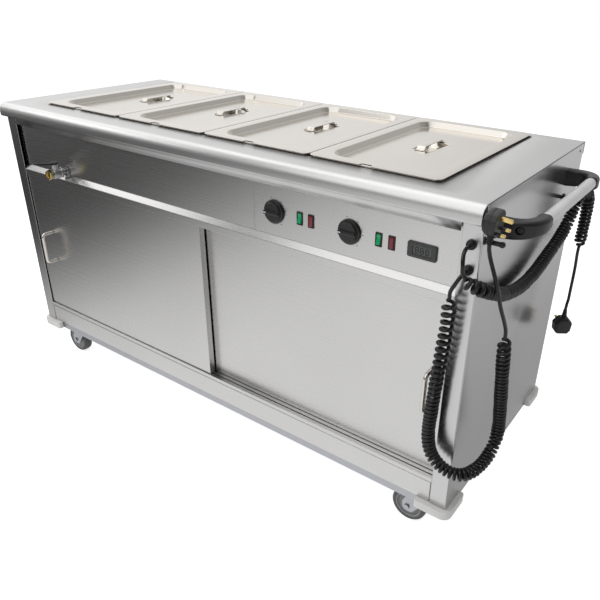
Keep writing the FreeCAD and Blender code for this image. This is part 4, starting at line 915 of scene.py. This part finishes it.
leadSizes = {
    "wire": 0.008,  # diameter
    "coil": 0.011,  # radius to the wire's middle
    "ramp": 0.018,  # over which the first and last curls open out
    "steps": 12,  # points in a turn
    "wander": 0.0004,  # uneven size of the curls
    "open": 0.4,  # how much wider the curls stand in a bend
    "joins": (0.01, 0.014, 0.016),  # before the curls, after them and before the boot
}


def nurbsSpline(name, points, resolution):
    # an open NURBS spline of order 3 that starts and ends on its end points
    curve = bpy.data.curves.new(name, "CURVE")
    curve.dimensions = "3D"
    spline = curve.splines.new("NURBS")
    spline.points.add(len(points) - 1)
    spline.points.foreach_set("co", np.column_stack([points, np.ones(len(points))]).ravel())
    spline.order_u = 3
    spline.use_endpoint_u = True
    spline.resolution_u = resolution
    curve.resolution_u = resolution
    return curve


def readLine(points, resolution=24):
    # the points that the route's own spline passes
    holder = bpy.data.objects.new("routeLine", nurbsSpline("routeLine", points, resolution))
    mesh = bpy.data.meshes.new_from_object(holder)
    found = np.empty(len(mesh.vertices) * 3)
    mesh.vertices.foreach_get("co", found)
    bpy.data.objects.remove(holder)
    bpy.data.meshes.remove(mesh)
    return found.reshape(-1, 3)


def curlPoints(route, facts, sizes, seed):
    # point = line(s) + radius(s) (cos f side + sin f up); f grows by a turn each pitch,
    # and the curls open a little in a bend, by open x curvature x radius
    line = readLine(route)
    along = np.concatenate([[0], np.cumsum(np.linalg.norm(np.diff(line, axis=0), axis=1))])
    s = np.linspace(0, along[-1], 2000)
    line = np.column_stack([np.interp(s, along, line[:, k]) for k in range(3)])
    ahead = unit(np.gradient(line, s, axis=0))
    bend = np.linalg.norm(np.gradient(ahead, s, axis=0), axis=1)
    bend = np.convolve(np.pad(bend, 40, mode="edge"), np.ones(81) / 81, mode="valid")
    stops = np.array(facts["pitch"])
    pitch = np.interp(s / s[-1], stops[:, 0], stops[:, 1])
    density = (1 - sizes["open"] * np.minimum(bend * sizes["coil"], 0.6)) / pitch
    turns = np.concatenate([[0], np.cumsum((density[1:] + density[:-1]) / 2 * np.diff(s))])
    total = round(turns[-1])
    f = np.arange(total * sizes["steps"] + 1) / sizes["steps"]
    at = np.interp(f, turns * total / turns[-1], s)
    middle = np.column_stack([np.interp(at, s, line[:, k]) for k in range(3)])
    ahead = unit(np.column_stack([np.interp(at, s, ahead[:, k]) for k in range(3)]))
    across = np.array([math.sqrt(0.5), -math.sqrt(0.5), 0.0])
    side = unit(across - ahead * (ahead @ across)[:, None])
    up = np.cross(ahead, side)
    opening = np.clip(np.minimum(at, s[-1] - at) / sizes["ramp"], 0, 1)
    ease = opening ** 2 * (3 - 2 * opening)
    draw = np.random.default_rng(seed)
    wander = np.interp(f, np.arange(total + 1), draw.normal(0, 1, total + 1)) * sizes["wander"]
    radius = (sizes["coil"] / math.cos(math.pi / sizes["steps"]) + wander) * ease
    turn = 2 * math.pi * f
    print("  curls:", total)
    return middle + radius[:, None] * (side * np.cos(turn)[:, None] + up * np.sin(turn)[:, None])


def curlyLead(key, facts, sizes):
    # the lead's own spline: straight tail from its gland, curls, straight end to its plug's boot
    curls = curlPoints(facts["curls"], facts, sizes, 7 + ord(key))
    route = np.array(facts["curls"])
    first, last = unit(route[1] - route[0]), unit(route[-1] - route[-2])
    boot = np.array(facts["boot"])
    leaving = unit(np.array(facts["leaving"]))
    before, after, rest = sizes["joins"]
    tail = [facts["exit"], *facts["tail"], curls[0] - first * before]
    end = [curls[-1] + last * after, *facts["end"], boot + leaving * rest, boot]
    points = fromCorner(np.vstack([tail, curls, end]))
    curve = nurbsSpline("curlyLead" + key, points, 3)
    curve.bevel_depth = sizes["wire"] / 2
    curve.bevel_resolution = 3
    curve.use_fill_caps = True
    curve.materials.append(leadJacket)
    lead = linked("curlyLead" + key, curve)
    line = readLine(points, 3)
    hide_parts("lead_" + key.lower())
    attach(lead, "cabinet")
    return lead


for key in "AB":
    curlyLead(key, leadRoutes[key], leadSizes)
print("leads hung")

studio = {
    "floor": 8.0,  # half size
    "whiteness": 0.75,  # added to the floor's own shade for the camera
    "paint": 0.8,
    "ambient": 0.55,  # the world's level for all but camera and reflections
    "nearSide": (-0.6, 0.5, 0.35),  # Y between which reflections brighten, and the share in front
    # a painted reflection of the floor: dark to the left, and a painted shadow beside the trolley's right end
    # near X 0.8 to 1.1
    "mirrored": [(-2.35, 0.05), (-1.8, 0.12), (-1.36, 0.44), (-0.92, 0.83), (-0.35, 1.0), (0.72, 1.0),
        (0.8, 0.4), (1.1, 0.48), (1.45, 0.68), (2.4, 0.8)],  # the floor's glow in reflections, along X
    "around": [(-1.0, 0.95), (-0.7, 1.0), (-0.45, 0.9), (-0.25, 0.74), (0.2, 0.62), (0.6, 0.4),
        (1.0, 0.46)],
    "lamps": {
        "overRight": ((-0.1, -0.35, 3.0), (0.2, 0.0, 0.8), (2.7, 2.2), 20),
        "overLeft": ((-2.3, -0.35, 2.5), (-0.4, 0.0, 0.8), (2.0, 1.8), 9),
        "front": ((-0.25, -2.3, 2.3), (0.4, -0.2, 0.7), (2.4, 1.7), 15),
        "ledgeLeft": ((-2.35, -1.4, 2.0), (-0.3, -0.3, 0.7), (1.2, 0.8), 4),
    },
}


def rampOf(tree, value, stops):
    # a value read off straight runs between stops, through a colour ramp from 0 to 1
    low, high = stops[0][0], stops[-1][0]
    share = nodeIn(tree, "ShaderNodeMapRange", {"Value": value, "From Min": low, "From Max": high})
    ramp = nodeIn(tree, "ShaderNodeValToRGB", {0: share.outputs[0]})
    marks = ramp.color_ramp.elements
    for place, level in stops[1:-1]:
        marks.new((place - low) / (high - low))
    for mark, (place, level) in zip(marks, stops):
        mark.color = (level, level, level, 1)
    return ramp.outputs[0]


def makeFloor(half):
    # a plain square, white to the camera and with soft shadows; a reflection sees a painted level along X,
    # dark to the left and with a painted shadow beside the trolley's right end
    mesh = bpy.data.meshes.new("studioFloor")
    mesh.from_pydata([(-half, -half, 0), (half, -half, 0), (half, half, 0), (-half, half, 0)], [],
        [(0, 1, 2, 3)])
    floor = linked("studioFloor", mesh)
    made, tree = newMaterial("studioFloor")
    path = nodeIn(tree, "ShaderNodeLightPath")
    place = nodeIn(tree, "ShaderNodeSeparateXYZ",
        {0: nodeIn(tree, "ShaderNodeNewGeometry").outputs["Position"]})
    # painted reflection: the floor's level along X as reflections see it, painted shadow included
    dim = rampOf(tree, place.outputs["X"], studio["mirrored"])
    plain = combined(tree, "MAXIMUM", path.outputs["Is Camera Ray"], path.outputs["Is Transmission Ray"])
    glow = combined(tree, "MULTIPLY", plain, studio["whiteness"])
    shade = nodeIn(tree, "ShaderNodeBsdfDiffuse", {"Color": (*[studio["paint"]] * 3, 1)})
    light = nodeIn(tree, "ShaderNodeEmission", {"Color": (1, 1, 1, 1), "Strength": glow})
    direct = nodeIn(tree, "ShaderNodeAddShader", {0: shade.outputs[0], 1: light.outputs[0]})
    mirrored = nodeIn(tree, "ShaderNodeEmission", {"Color": (1, 1, 1, 1), "Strength": dim})
    finishMaterial(tree, nodeIn(tree, "ShaderNodeMixShader", {0: path.outputs["Is Glossy Ray"],
        1: direct.outputs[0], 2: mirrored.outputs[0]}))
    mesh.materials.append(made)


def makeWorld():
    # white to the camera; in reflections brighter behind than in front, and dimmer to the right
    world = bpy.data.worlds.new("studioWorld")
    bpy.context.scene.world = world
    world.use_nodes = True
    tree = world.node_tree
    tree.nodes.clear()
    path = nodeIn(tree, "ShaderNodeLightPath")
    way = nodeIn(tree, "ShaderNodeSeparateXYZ", {0: nodeIn(tree, "ShaderNodeTexCoord").outputs["Generated"]})
    start, stop, share = studio["nearSide"]
    side = nodeIn(tree, "ShaderNodeMapRange", {"Value": way.outputs["Y"], "From Min": start, "From Max": stop,
        "To Min": share, "To Max": 1.0}, interpolation_type="SMOOTHSTEP")
    level = combined(tree, "MULTIPLY", side.outputs[0], rampOf(tree, way.outputs["X"], studio["around"]))
    seen = nodeIn(tree, "ShaderNodeMix", {"Factor": path.outputs["Is Glossy Ray"], "A": studio["ambient"],
        "B": level})
    plain = combined(tree, "MAXIMUM", path.outputs["Is Camera Ray"], path.outputs["Is Transmission Ray"])
    strength = nodeIn(tree, "ShaderNodeMix", {"Factor": plain, "A": seen.outputs["Result"], "B": 1.0})
    back = nodeIn(tree, "ShaderNodeBackground", {"Color": (1, 1, 1, 1),
        "Strength": strength.outputs["Result"]})
    nodeIn(tree, "ShaderNodeOutputWorld", {"Surface": back.outputs[0]})


def makeLamp(name, place, aim, size, power):
    data = bpy.data.lights.new(name, "AREA")
    data.shape = "RECTANGLE"
    data.size, data.size_y = size
    data.energy = power
    lamp = linked(name, data)
    lamp.location = place
    lamp.rotation_euler = (Vector(aim) - Vector(place)).to_track_quat("-Z", "Y").to_euler()


makeFloor(studio["floor"])
makeWorld()
for name, facts in studio["lamps"].items():
    makeLamp(name, *facts)
print("studio lit")
